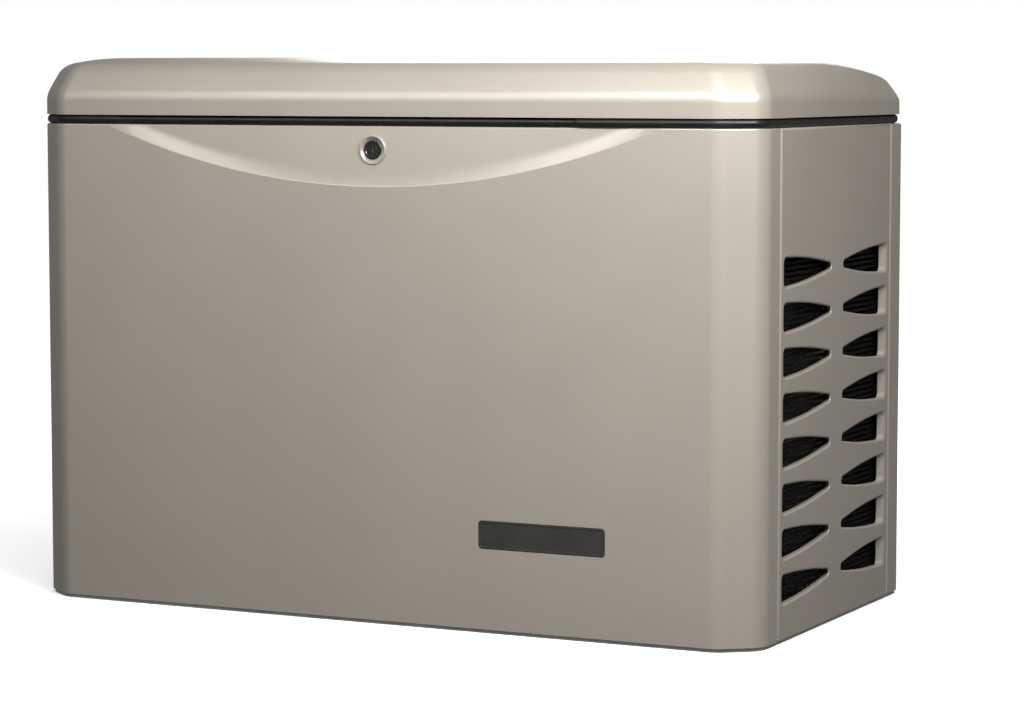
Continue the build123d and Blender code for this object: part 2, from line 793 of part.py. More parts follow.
fan_blades = 14
nose_radius = 18.0
fan_disc_left = -228.0
with BuildPart() as flywheel_fan:
    with BuildSketch(Plane.YZ.offset(fan_disc_left)):
        with Locations((crank_y, crank_z)):
            Circle(fan_radius)
    extrude(amount=10)
    with BuildSketch(Plane.YZ.offset(fan_disc_left - 12)):
        with Locations((crank_y, crank_z)):
            Circle(nose_radius + 14)
    extrude(amount=50)
    with BuildSketch(Plane.YZ.offset(fan_disc_left - 15)):
        with Locations((crank_y, crank_z)):
            with PolarLocations((fan_radius + 60) / 2, fan_blades):
                Rectangle(fan_radius - 64, 3)
    extrude(amount=15)
    with BuildSketch(Plane.YZ.offset(fan_disc_left - 20)):
        with Locations((crank_y, crank_z)):
            Circle(nose_radius + running_gap)
    extrude(amount=80, mode=Mode.SUBTRACT)
flywheel_fan.part.label = "flywheel_fan"
export_step(flywheel_fan.part, "parts/flywheel_fan.step")

rotor_left = crankcase_right + 6
with BuildPart() as crankshaft:
    with BuildSketch(Plane.YZ.offset(fan_disc_left - 17)):
        with Locations((crank_y, crank_z)):
            Circle(nose_radius)
    extrude(amount=crankcase_left - fan_disc_left + 17)
    with BuildSketch(Plane.YZ.offset(crankcase_left)):
        with Locations((crank_y, crank_z)):
            Circle(shaft_radius)
    extrude(amount=rotor_left - crankcase_left)
    for web_x in (-140, -100, -50, -10):
        with BuildSketch(Plane.YZ.offset(web_x)):
            with Locations((crank_y, crank_z)):
                Circle(72)
                Rectangle(200, 60, mode=Mode.INTERSECT)
            with Locations((crank_y, crank_z - 40)):
                Circle(52)
        extrude(amount=16)
crankshaft.part.label = "crankshaft"
export_step(crankshaft.part, "parts/crankshaft.step")

riser_x = (front_cylinder_x + rear_cylinder_x) / 2
riser_top = 520.0
runner_z = crank_z + 205
mixer_top = 570.0
port_z = 545.0
port_left = -106.0
with BuildPart() as intake_manifold:
    with BuildSketch(Plane.XZ.offset(-crank_y - 170)):
        with Locations((riser_x, runner_z)):
            Circle(14)
    extrude(amount=340)
    for side in (-1, 1):
        head_side = Plane(origin=(0, crank_y, crank_z), x_dir=(1, 0, 0), z_dir=(0, -side * slant, slant))
        split(bisect_by=head_side.offset(head_half), keep=Keep.TOP)
    with BuildSketch(Plane.XY.offset(crank_z + crankcase_half)):
        with Locations((riser_x, crank_y)):
            RectangleRounded(60, 60, 10)
    extrude(amount=riser_top - crank_z - crankcase_half)
    with BuildSketch(Plane.XY.offset(riser_top)):
        with Locations((riser_x, crank_y)):
            Circle(26)
    extrude(amount=mixer_top - riser_top)
    with BuildSketch(Plane.YZ.offset(port_left)):
        with Locations((crank_y, port_z)):
            Circle(12)
    extrude(amount=riser_x - port_left)
intake_manifold.part.label = "intake_manifold"
export_step(intake_manifold.part, "parts/intake_manifold.step")

cleaner_size = 200.0
cleaner_base = 12.0
cleaner_height = 80.0
with BuildPart() as air_cleaner_base:
    with BuildSketch(Plane.XY.offset(mixer_top)):
        with Locations((riser_x, crank_y)):
            RectangleRounded(cleaner_size, cleaner_size, 22)
            Circle(18, mode=Mode.SUBTRACT)
    extrude(amount=cleaner_base)
air_cleaner_base.part.label = "air_cleaner_base"
export_step(air_cleaner_base.part, "parts/air_cleaner_base.step")

with BuildPart() as air_cleaner_cover:
    with BuildSketch(Plane.XY.offset(mixer_top + cleaner_base)):
        with Locations((riser_x, crank_y)):
            RectangleRounded(cleaner_size - 6, cleaner_size - 6, 20)
    extrude(amount=cleaner_height)
    fillet(air_cleaner_cover.faces().sort_by(Axis.Z)[-1].edges(), radius=12)
    with BuildSketch(Plane.XY.offset(mixer_top + cleaner_base)):
        with Locations((riser_x, crank_y)):
            RectangleRounded(cleaner_size - 14, cleaner_size - 14, 16)
    extrude(amount=cleaner_height - 6, mode=Mode.SUBTRACT)
air_cleaner_cover.part.label = "air_cleaner_cover"
export_step(air_cleaner_cover.part, "parts/air_cleaner_cover.step")

case_front_y = crank_y - crankcase_half
with BuildPart() as oil_filter:
    with BuildSketch(Plane.XZ.offset(-case_front_y)):
        with Locations((20, crank_z - 130)):
            Circle(36)
    extrude(amount=82)
    fillet(oil_filter.edges().sort_by(Axis.Y)[:1], radius=7)
oil_filter.part.label = "oil_filter"
export_step(oil_filter.part, "parts/oil_filter.step")

starter_radius = 32.0
starter_y = crank_y + crankcase_half + starter_radius + 1
starter_z = 200.0
with BuildPart() as starter_motor:
    with BuildSketch(Plane.YZ.offset(crankcase_left)):
        with Locations((starter_y, starter_z)):
            Circle(starter_radius)
    extrude(amount=130)
    with BuildSketch(Plane.YZ.offset(crankcase_left + 20)):
        with Locations((starter_y + 6, starter_z + starter_radius + 14)):
            Circle(18)
        with Locations((starter_y, starter_z + starter_radius)):
            Rectangle(20, 20)
    extrude(amount=70)
    with BuildSketch(Plane.YZ.offset(-100)):
        with Locations((crank_y + crankcase_half + starter_radius / 2, starter_z)):
            Rectangle(starter_radius, 84)
    extrude(amount=12)
starter_motor.part.label = "starter_motor"
export_step(starter_motor.part, "parts/starter_motor.step")


# ------------------------------------------------------------------ alternator
frame_radius = stator_radius + 3
frame_bore = stator_radius - 7
winding_outer = frame_bore - 4
winding_inner = stator_bore + 3.5
winding_length = 24.0
bracket_right = 338.0
rotor_shaft = 20.0

with BuildPart() as alternator_adapter:
    with BuildSketch(Plane.YZ.offset(crankcase_right)):
        with Locations((crank_y, crank_z)):
            Circle(frame_radius)
            Circle(frame_bore, mode=Mode.SUBTRACT)
    extrude(amount=stator_left - crankcase_right)
    with BuildSketch(Plane.YZ.offset(crankcase_right + 12)):
        with Locations((crank_y, crank_z)):
            with PolarLocations(0, 3):
                Rectangle(3 * frame_radius, 62)
    extrude(amount=stator_left - crankcase_right - 24, mode=Mode.SUBTRACT)
alternator_adapter.part.label = "alternator_adapter"
export_step(alternator_adapter.part, "parts/alternator_adapter.step")

terminal_x = 250.0
terminal_front = crank_y - stator_radius - 30
with BuildPart() as alternator_stator:
    with BuildSketch(Plane.YZ.offset(stator_left)):
        with Locations((crank_y, crank_z)):
            Circle(stator_radius)
    extrude(amount=stator_right - stator_left)
    with Locations((terminal_x - 20, terminal_front, crank_z)):
        Box(76, stator_radius, 80, align=(Align.CENTER, Align.MIN, Align.CENTER))
    with BuildSketch(Plane.YZ.offset(stator_left)):
        with Locations((crank_y, crank_z)):
            Circle(stator_bore)
    extrude(amount=stator_right - stator_left, mode=Mode.SUBTRACT)
alternator_stator.part.label = "alternator_stator"
export_step(alternator_stator.part, "parts/alternator_stator.step")

with BuildPart() as stator_windings:
    for winding_x in (stator_left - winding_length, stator_right):
        with BuildSketch(Plane.YZ.offset(winding_x)):
            with Locations((crank_y, crank_z)):
                Circle(winding_outer)
                Circle(winding_inner, mode=Mode.SUBTRACT)
        extrude(amount=winding_length)
stator_windings.part.label = "stator_windings"
export_step(stator_windings.part, "parts/stator_windings.step")

with BuildPart() as alternator_rotor:
    with BuildSketch(Plane.YZ.offset(stator_left - 5)):
        with Locations((crank_y, crank_z)):
            Circle(stator_bore - air_gap)
            with PolarLocations(stator_bore, 4):
                Rectangle(70, 26, mode=Mode.SUBTRACT)
    extrude(amount=stator_right - stator_left + 10)
    with BuildSketch(Plane.YZ.offset(rotor_left)):
        with Locations((crank_y, crank_z)):
            Circle(rotor_shaft)
    extrude(amount=bracket_right + 4 - rotor_left)
    with BuildSketch(Plane.YZ.offset(rotor_left + 6)):
        with Locations((crank_y, crank_z)):
            Circle(72)
    extrude(amount=5)
    with BuildSketch(Plane.YZ.offset(stator_right + 22)):
        with Locations((crank_y, crank_z)):
            Circle(rotor_shaft + 7)
    extrude(amount=12)
alternator_rotor.part.label = "alternator_rotor"
export_step(alternator_rotor.part, "parts/alternator_rotor.step")

with BuildPart() as alternator_end_bracket:
    with BuildSketch(Plane.YZ.offset(stator_right)):
        with Locations((crank_y, crank_z)):
            Circle(frame_radius)
    extrude(amount=bracket_right - stator_right)
    with BuildSketch(Plane.YZ.offset(stator_right + 12)):
        with Locations((crank_y, (cradle_top + crank_z) / 2)):
            Rectangle(150, crank_z - cradle_top)
    extrude(amount=22)
    with BuildSketch(Plane.YZ.offset(stator_right - 1)):
        with Locations((crank_y, crank_z)):
            Circle(frame_bore)
    extrude(amount=bracket_right - stator_right - 7, mode=Mode.SUBTRACT)
    with BuildSketch(Plane.YZ.offset(stator_right)):
        with Locations((crank_y, crank_z)):
            Circle(rotor_shaft + running_gap)
            with PolarLocations(64, 8):
                Circle(17)
    extrude(amount=bracket_right - stator_right, mode=Mode.SUBTRACT)
alternator_end_bracket.part.label = "alternator_end_bracket"
export_step(alternator_end_bracket.part, "parts/alternator_end_bracket.step")


# ------------------------------------------------------------------ divider and exhaust
shelf_top = muffler_z - muffler_radius - 9
inlet_left = muffler_x - muffler_radius - 16
inlet_ys = (muffler_y - 110, muffler_y + 110)
divider_front = -half_depth + sheet + foam_thickness + 6
divider_top = 718.0
with BuildPart() as divider_baffle:
    with BuildSketch(Plane.YZ.offset(divider_x)):
        with Locations(((divider_front + wall_y) / 2, (tray_floor + divider_top) / 2)):
            Rectangle(wall_y - divider_front, divider_top - tray_floor)
        with Locations((crank_y, crank_z)):
            Circle(stator_bore, mode=Mode.SUBTRACT)
        with Locations(*[(y, muffler_z) for y in inlet_ys]):
            Circle(pipe_radius + 6, mode=Mode.SUBTRACT)
        with Locations((wall_y, tray_wall / 2)):
            Rectangle(2 * (tray_floor + 2), tray_wall + 4, mode=Mode.SUBTRACT)
    extrude(amount=sheet)
divider_baffle.part.label = "divider_baffle"
export_step(divider_baffle.part, "parts/divider_baffle.step")

with BuildPart() as muffler_shelf:
    with Locations((divider_x + sheet, muffler_y, shelf_top)):
        Box(190, 290, sheet, align=(Align.MIN, Align.CENTER, Align.MAX))
        Box(sheet, 290, 46, align=(Align.MIN, Align.CENTER, Align.MAX))
muffler_shelf.part.label = "muffler_shelf"
export_step(muffler_shelf.part, "parts/muffler_shelf.step")

with BuildPart() as muffler:
    with BuildSketch(Plane.XZ.offset(-muffler_y - muffler_length / 2)):
        with Locations((muffler_x, muffler_z)):
            Circle(muffler_radius)
    extrude(amount=muffler_length)
    fillet(muffler.edges().filter_by(GeomType.CIRCLE), radius=18)
    with BuildSketch(Plane.YZ.offset(inlet_left)):
        with Locations(*[(y, muffler_z) for y in inlet_ys]):
            Circle(pipe_radius + 3)
    extrude(amount=30)
    with BuildSketch(Plane.YZ.offset(muffler_x + muffler_radius - 14)):
        with Locations((muffler_y, muffler_z)):
            Circle(pipe_radius + 3)
    extrude(amount=46)
    with BuildSketch(Plane.YZ.offset(muffler_x + muffler_radius + 33)):
        with Locations((muffler_y, muffler_z)):
            Circle(pipe_radius)
    extrude(amount=-26, mode=Mode.SUBTRACT)
muffler.part.label = "muffler"
export_step(muffler.part, "parts/muffler.step")

with BuildPart() as muffler_straps:
    for strap_y in (muffler_y - 70, muffler_y + 70):
        with BuildSketch(Plane.XZ.offset(-strap_y - 11)):
            with Locations((muffler_x, muffler_z)):
                Circle(muffler_radius + touch_gap + sheet)
            with Locations((muffler_x, (shelf_top + muffler_z) / 2)):
                Rectangle(44, muffler_z - shelf_top)
            with Locations((muffler_x, muffler_z)):
                Circle(muffler_radius + touch_gap, mode=Mode.SUBTRACT)
        extrude(amount=22)
muffler_straps.part.label = "muffler_straps"
export_step(muffler_straps.part, "parts/muffler_straps.step")

port_reach = head_start + head_height / 2
port_y = port_reach * slant
port_height = crank_z + port_reach * slant
exhaust_bend = 45.0
front_pipe = swept_tube(
    [
        (front_cylinder_x + head_half, crank_y - port_y, port_height),
        (110, crank_y - port_y, port_height),
        (240, inlet_ys[0], muffler_z),
        (inlet_left, inlet_ys[0], muffler_z),
    ],
    exhaust_bend,
    pipe_radius,
    pipe_radius - pipe_wall,
)
rear_pipe = swept_tube(
    [
        (rear_cylinder_x + head_half, crank_y + port_y, port_height),
        (130, crank_y + port_y, port_height),
        (250, inlet_ys[1], muffler_z),
        (inlet_left, inlet_ys[1], muffler_z),
    ],
    exhaust_bend,
    pipe_radius,
    pipe_radius - pipe_wall,
)
with BuildPart() as exhaust_pipes:
    add(front_pipe)
    add(rear_pipe)
exhaust_pipes.part.label = "exhaust_pipes"
export_step(exhaust_pipes.part, "parts/exhaust_pipes.step")


# ------------------------------------------------------------------ fuel side
valve_y = 270.0
valve_half = 24.0
regulator_z = 325.0
regulator_radius = 55.0
regulator_port_z = 262.0
with BuildPart() as fuel_inlet_valve:
    with BuildSketch(Plane.XZ.offset(-half_depth)):
        with Locations((fuel_x, fuel_inlet_z)):
            Circle(conduit_radius)
    extrude(amount=half_depth - valve_y)
    with Locations((fuel_x, valve_y, fuel_inlet_z)):
        Box(2 * valve_half, 2 * valve_half, 2 * valve_half)
    with BuildSketch(Plane.XZ.offset(-valve_y + valve_half)):
        with Locations((fuel_x, fuel_inlet_z)):
            Circle(18)
    extrude(amount=40)
    with BuildSketch(Plane.XY.offset(fuel_inlet_z + valve_half)):
        with Locations((fuel_x, valve_y)):
            Circle(12)
    extrude(amount=regulator_port_z - fuel_inlet_z - valve_half)
    with BuildSketch(Plane.XZ.offset(-half_depth)):
        with Locations((fuel_x, fuel_inlet_z)):
            Circle(fuel_bore)
    extrude(amount=40, mode=Mode.SUBTRACT)
fuel_inlet_valve.part.label = "fuel_inlet_valve"
export_step(fuel_inlet_valve.part, "parts/fuel_inlet_valve.step")

with BuildPart() as fuel_regulator:
    with BuildSketch(Plane.XZ.offset(-valve_y - 25)):
        with Locations((fuel_x, regulator_z)):
            Circle(regulator_radius)
    extrude(amount=50)
    with BuildSketch(Plane.XZ.offset(-valve_y - 4)):
        with Locations((fuel_x, regulator_z)):
            Circle(regulator_radius + 6)
    extrude(amount=8)
    with Locations((fuel_x, valve_y, regulator_port_z)):
        Box(34, 34, 30, align=(Align.CENTER, Align.CENTER, Align.MIN))
    with Locations((fuel_x, valve_y + 25, regulator_z)):
        Box(60, wall_y - valve_y - 25, 30, align=(Align.CENTER, Align.MIN, Align.CENTER))
    with BuildSketch(Plane.XY.offset(regulator_z)):
        with Locations((fuel_x, valve_y - 14)):
            Circle(9)
    extrude(amount=regulator_radius + 15)
fuel_regulator.part.label = "fuel_regulator"
export_step(fuel_regulator.part, "parts/fuel_regulator.step")

hose_y = valve_y - 14
fuel_hose = swept_tube(
    [
        (fuel_x, hose_y, regulator_z + regulator_radius + 15),
        (fuel_x, hose_y, 480),
        (fuel_x + 50, 190, port_z),
        (-290, 60, port_z),
        (-205, crank_y, port_z),
        (port_left, crank_y, port_z),
    ],
    38,
    9,
    6,
)
fuel_hose.label = "fuel_hose"
export_step(fuel_hose, "parts/fuel_hose.step")


# ------------------------------------------------------------------ battery and leads
battery_top = tray_floor + battery_size[2]
post_y = battery_y - 40
post_xs = (battery_x - 90, battery_x + 90)
post_height = 14.0
lead_radius = 5.0
with BuildPart() as battery:
    with BuildSketch(Plane.XY.offset(tray_floor)):
        with Locations((battery_x, battery_y)):
            RectangleRounded(battery_size[0], battery_size[1], 6)
    extrude(amount=battery_size[2])
    with BuildSketch(Plane.XY.offset(battery_top)):
        with Locations(*[(x, post_y) for x in post_xs]):
            Circle(8)
    extrude(amount=post_height)
battery.part.label = "battery"
export_step(battery.part, "parts/battery.step")

strap_thickness = 2.0
with BuildPart() as battery_strap:
    with BuildSketch(Plane.YZ.offset(battery_x - 14)):
        with Locations((battery_y, (tray_floor + battery_top + strap_thickness) / 2)):
            Rectangle(battery_size[1] + 2 * strap_thickness, battery_size[2] + strap_thickness)
        with Locations((battery_y, (tray_floor + battery_top) / 2)):
            Rectangle(battery_size[1], battery_size[2], mode=Mode.SUBTRACT)
    extrude(amount=28)
battery_strap.part.label = "battery_strap"
export_step(battery_strap.part, "parts/battery_strap.step")

post_top = battery_top + post_height
breaker_bottom = breaker_z - breaker_size[2] / 2
loom_y = mount_plate_y - sheet - breaker_size[1] / 2
starter_lead = swept_tube(
    [
        (post_xs[0], post_y, post_top),
        (post_xs[0], post_y, post_top + 42),
        (post_xs[0] + 50, post_y + 60, post_top + 68),
        (-340, -90, post_top + 68),
        (-292, 60, post_top + 40),
        (-262, starter_y - 24, starter_z + 10),
        (crankcase_left - 40, starter_y, starter_z),
        (crankcase_left, starter_y, starter_z),
    ],
    18,
    lead_radius,
)
ground_lead = swept_tube(
    [
        (post_xs[1], post_y, post_top),
        (post_xs[1], post_y, post_top + 34),
        (post_xs[1] + 60, post_y + 40, post_top + 30),
        (-190, -190, 180),
        (-130, case_front_y - 60, 150),
        (-130, case_front_y, 150),
    ],
    18,
    lead_radius,
)
power_loom = swept_tube(
    [
        (case_x, loom_y, breaker_bottom),
        (case_x, loom_y, 345),
        (case_x - 10, terminal_front - 60, crank_z),
        (case_x - 10, terminal_front, crank_z),
    ],
    28,
    8,
)
with BuildPart() as power_leads:
    add(starter_lead)
    add(ground_lead)
    add(power_loom)
power_leads.part.label = "power_leads"
export_step(power_leads.part, "parts/power_leads.step")


# ------------------------------------------------------------------ controls
with BuildPart() as control_mount:
    with Locations((control_left, mount_plate_y, mount_plate_low)):
        Box(divider_x - control_left, sheet, mount_plate_tall, align=(Align.MIN, Align.MAX, Align.MIN))
    with Locations((divider_x, mount_plate_y, mount_plate_low)):
        Box(sheet, 30, mount_plate_tall, align=(Align.MAX, Align.MIN, Align.MIN))
    with Locations((control_left, mount_plate_y, mount_plate_low)):
        Box(sheet, 14, mount_plate_tall, align=(Align.MIN, Align.MIN, Align.MIN))
control_mount.part.label = "control_mount"
export_step(control_mount.part, "parts/control_mount.step")

case_back_y = mount_plate_y - sheet
case_front = case_back_y - case_size[1]
case_shell = 2.5
button_z = case_z - 38
screen_z = case_z + 18
screen_size = (100.0, 44.0)
button_xs = (case_x - button_pitch, case_x, case_x + button_pitch)
button_clearance = 0.3
controls_plane = Plane(origin=(0, case_front, 0), x_dir=(1, 0, 0), z_dir=(0, -1, 0))
with BuildPart() as controller_case:
    with BuildSketch(controls_plane):
        with Locations((case_x, case_z)):
            RectangleRounded(case_size[0], case_size[2], 8)
    extrude(amount=-case_size[1])
    fillet(controller_case.faces().sort_by(Axis.Y)[0].edges(), radius=2)
    with BuildSketch(controls_plane.offset(-case_shell)):
        with Locations((case_x, case_z)):
            RectangleRounded(case_size[0] - 2 * case_shell, case_size[2] - 2 * case_shell, 5.5)
    extrude(amount=-case_size[1], mode=Mode.SUBTRACT)
    with BuildSketch(controls_plane):
        with Locations((case_x, screen_z)):
            RectangleRounded(screen_size[0], screen_size[1], 3)
        with Locations(*[(x, button_z) for x in button_xs]):
            Circle(button_radius + button_clearance)
    extrude(amount=-2 * case_shell, mode=Mode.SUBTRACT)
controller_case.part.label = "controller_case"
export_step(controller_case.part, "parts/controller_case.step")

with BuildPart() as controller_screen:
    with BuildSketch(controls_plane.offset(-case_shell)):
        with Locations((case_x, screen_z)):
            Rectangle(screen_size[0] + 8, screen_size[1] + 8)
    extrude(amount=-2)
controller_screen.part.label = "controller_screen"
export_step(controller_screen.part, "parts/controller_screen.step")

for x, name in zip(button_xs, ("off_button", "auto_button", "run_button")):
    with BuildPart() as button:
        with BuildSketch(controls_plane.offset(2.5)):
            with Locations((x, button_z)):
                Circle(button_radius)
        extrude(amount=-(case_shell + 4.5))
        with BuildSketch(controls_plane.offset(-case_shell - button_clearance)):
            with Locations((x, button_z)):
                Circle(button_radius + 2)
        extrude(amount=-1.7)
        fillet(button.edges().sort_by(Axis.Y)[:1], radius=0.8)
    button.part.label = name
    export_step(button.part, "parts/" + name + ".step")

lever_y = case_back_y - breaker_size[1] + 14
pocket_width = 20.0
with BuildPart() as circuit_breaker:
    with Locations((case_x, case_back_y, breaker_z)):
        Box(breaker_size[0], breaker_size[1], breaker_size[2], align=(Align.CENTER, Align.MAX, Align.CENTER))
    with Locations((case_x, case_back_y - breaker_size[1], breaker_z)):
        Box(pocket_width, 24, 48, align=(Align.CENTER, Align.MIN, Align.CENTER), mode=Mode.SUBTRACT)
circuit_breaker.part.label = "circuit_breaker"
export_step(circuit_breaker.part, "parts/circuit_breaker.step")

lever_tilt = 20.0
with BuildPart() as breaker_lever:
    with BuildSketch(Plane.YZ.offset(case_x - pocket_width / 2 + button_clearance)):
        with Locations((lever_y, breaker_z)):
            Circle(7)
    extrude(amount=pocket_width - 2 * button_clearance)
    with BuildSketch(Plane.YZ.offset(case_x - 7)):
        with Locations(Location((lever_y, breaker_z), -lever_tilt)):
            with Locations((-13, 0)):
                Rectangle(26, 8)
    extrude(amount=14)
breaker_lever.part.label = "breaker_lever"
export_step(breaker_lever.part, "parts/breaker_lever.step")
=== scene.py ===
"""Looks of the home standby generator: outer skins, seal, lock and finishes around the fixed CAD frame."""

import logging
import math
from contextlib import contextmanager
from dataclasses import dataclass
from enum import Enum
from typing import Callable, Iterator, Optional, Union

import bmesh
import bpy
from mathutils import Matrix, Vector


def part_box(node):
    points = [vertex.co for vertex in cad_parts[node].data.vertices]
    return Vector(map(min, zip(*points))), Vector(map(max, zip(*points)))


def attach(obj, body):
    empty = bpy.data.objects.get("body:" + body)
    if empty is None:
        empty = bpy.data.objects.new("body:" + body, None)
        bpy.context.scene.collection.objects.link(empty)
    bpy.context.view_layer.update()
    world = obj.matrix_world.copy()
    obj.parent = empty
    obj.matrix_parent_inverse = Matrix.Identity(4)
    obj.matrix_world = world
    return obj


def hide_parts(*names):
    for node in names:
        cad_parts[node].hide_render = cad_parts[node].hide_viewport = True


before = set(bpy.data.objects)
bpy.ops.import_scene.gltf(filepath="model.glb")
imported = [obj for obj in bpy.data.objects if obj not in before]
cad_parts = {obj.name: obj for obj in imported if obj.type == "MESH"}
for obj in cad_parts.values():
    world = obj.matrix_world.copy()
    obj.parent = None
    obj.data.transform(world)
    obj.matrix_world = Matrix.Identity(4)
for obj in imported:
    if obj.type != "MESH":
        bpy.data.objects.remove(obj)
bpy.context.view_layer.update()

LOG = logging.getLogger("generator")
CLOSE = 1e-5
SAME_SLICE = 1e-4

Colour = tuple[float, float, float]
Point = tuple[float, float, float]
Steps = tuple[tuple[float, float], ...]
Softbox = tuple[str, Point, Point, float, float, float]
Piece = bpy.types.Object
Material = bpy.types.Material
Socket = bpy.types.NodeSocket
Vert = bmesh.types.BMVert
Edge = bmesh.types.BMEdge
Face = bmesh.types.BMFace


# ---------------------------------------------------------------- shader wiring
class Wire:
    """One output socket that can be used in Python arithmetic."""

    def __init__(self, graph: "Graph", socket: Socket) -> None:
        """Keeps the socket and the graph that it belongs to."""
        self.graph = graph
        self.socket = socket

    def __add__(self, other: "Value") -> "Wire":
        """Sum of two values."""
        return self.graph.maths("ADD", self, other)

    def __sub__(self, other: "Value") -> "Wire":
        """This value less another."""
        return self.graph.maths("SUBTRACT", self, other)

    def __mul__(self, other: "Value") -> "Wire":
        """Product of two values."""
        return self.graph.maths("MULTIPLY", self, other)

    def __rsub__(self, other: "Value") -> "Wire":
        """Another value less this one."""
        return self.graph.maths("SUBTRACT", other, self)

    __radd__ = __add__
    __rmul__ = __mul__


Value = Union[Wire, float]


class Graph:
    """A material's node tree around one Principled shader."""

    def __init__(self, name: str) -> None:
        """Makes an empty material with its shader and the object's own coordinates."""
        self.material = bpy.data.materials.new(name)
        self.material.use_nodes = True
        self.nodes = self.material.node_tree.nodes
        self.links = self.material.node_tree.links
        self.shader = next(n for n in self.nodes if n.type == "BSDF_PRINCIPLED")
        self.place = self.node("ShaderNodeTexCoord", output="Object")

    def node(
        self, kind: str, settings: Optional[dict] = None, output: Union[str, int] = 0, **sockets: object
    ) -> Wire:
        """Adds one node.

        Args:
            kind: The node's type.
            settings: Attributes that are set before any socket.
            output: Which output the wire starts from.
            sockets: Input names, with underscores for spaces, and their values or wires.

        Returns:
            A wire from the chosen output.
        """
        made = self.nodes.new(kind)
        for key, value in (settings or {}).items():
            setattr(made, key, value)
        for key, value in sockets.items():
            target = made.inputs[int(key[1:])] if key[1:].isdigit() else made.inputs[key.replace("_", " ")]
            self.feed(target, value)
        return Wire(self, made.outputs[output])

    def feed(self, target: Socket, value: object) -> None:
        """Links a wire to an input, or sets the input's own value."""
        if isinstance(value, Wire):
            self.links.new(value.socket, target)
        else:
            target.default_value = value

    def maths(self, operation: str, first: Value, second: Value) -> Wire:
        """Adds one Math node for an operation on two values."""
        return self.node("ShaderNodeMath", {"operation": operation}, i0=first, i1=second)

    def noise(self, scale: float, detail: float = 3.0, stretch: Point = (1, 1, 1)) -> Wire:
        """Noise on object coordinates, scale in features per metre."""
        spot = self.node("ShaderNodeMapping", Vector=self.place, Scale=stretch)
        sockets = {"Vector": spot, "Scale": scale, "Detail": detail, "Roughness": 0.55}
        return self.node("ShaderNodeTexNoise", output="Fac", **sockets)

    def cells(self, scale: float, output: str = "Distance") -> Wire:
        """Voronoi cells on object coordinates."""
        return self.node("ShaderNodeTexVoronoi", output=output, Vector=self.place, Scale=scale)

    def waves(self, scale: float) -> Wire:
        """Even bands along X on object coordinates."""
        sockets = {"Vector": self.place, "Scale": scale}
        return self.node("ShaderNodeTexWave", {"bands_direction": "X"}, output="Fac", **sockets)

    def span(self, value: Wire, low: float, high: float, start: float = 0.3, end: float = 0.7) -> Wire:
        """Stretches a value from start..end to low..high, held inside those limits."""
        return self.node("ShaderNodeMapRange", Value=value, i1=start, i2=end, i3=low, i4=high)

    def blend(self, amount: Value, first: object, second: object) -> Wire:
        """Mix of two colours."""
        return self.node("ShaderNodeMix", {"data_type": "RGBA"}, output=2, i0=amount, i6=first, i7=second)

    def bump(self, height: Wire, distance: float, strength: float, under: Optional[Wire] = None) -> Wire:
        """Bump from a height, over an optional first bump."""
        sockets = {"Height": height, "Distance": distance, "Strength": strength}
        if under is not None:
            sockets["Normal"] = under
        return self.node("ShaderNodeBump", **sockets)

    def dress(self, **sockets: object) -> Material:
        """Sets the shader's sockets and returns the finished material."""
        for key, value in sockets.items():
            self.feed(self.shader.inputs[key.replace("_", " ")], value)
        return self.material


def rgba(colour: Colour, gain: float = 1.0) -> tuple[float, float, float, float]:
    """Colour times a gain, with full alpha."""
    return (colour[0] * gain, colour[1] * gain, colour[2] * gain, 1.0)


# ---------------------------------------------------------------- finishes
@dataclass(frozen=True)
class PowderCoat:
    """Satin champagne coat with fine flake and a soft orange-peel surface."""

    name: str = "champagne_coat"
    colour: Colour = (0.338, 0.307, 0.255)
    roughness: float = 0.36
    metallic: float = 0.30
    peel: float = 420.0
    flake: float = 2600.0
    coat: float = 0.22
    coat_roughness: float = 0.18

    def material(self) -> Material:
        """Returns the coat's material."""
        g = Graph(self.name)
        drift = g.noise(2.2, 2.0)
        flake = g.cells(self.flake, "Color")
        tint = g.blend(g.span(drift, 0.0, 1.0), rgba(self.colour, 0.965), rgba(self.colour, 1.03))
        tone = g.blend(0.06, tint, flake)
        rough = self.roughness + g.span(g.noise(9.0, 4.0), -0.025, 0.03)
        peel = g.bump(g.noise(self.peel, 2.0), 0.0002, 0.16)
        gloss = {"Coat_Weight": self.coat, "Coat_Roughness": self.coat_roughness}
        return g.dress(Base_Color=tone, Roughness=rough, Metallic=self.metallic, Normal=peel, **gloss)


@dataclass(frozen=True)
class SealRubber:
    """Matt black extruded rubber with faint lengthwise lines and dust."""

    name: str = "seal_rubber"
    colour: Colour = (0.006, 0.006, 0.0055)
    specular: float = 0.32

    def material(self) -> Material:
        """Returns the rubber's material."""
        g = Graph(self.name)
        dust = g.noise(35.0, 6.0)
        tone = g.blend(g.span(dust, 0.0, 0.2, 0.45, 0.75), rgba(self.colour), rgba((0.03, 0.029, 0.026)))
        lines = g.noise(60.0, 3.0, (0.3, 0.3, 12.0))
        skin = g.bump(lines, 0.0004, 0.3)
        rough = g.span(dust, 0.30, 0.42)
        return g.dress(Base_Color=tone, Roughness=rough, Normal=skin, Specular_IOR_Level=self.specular)


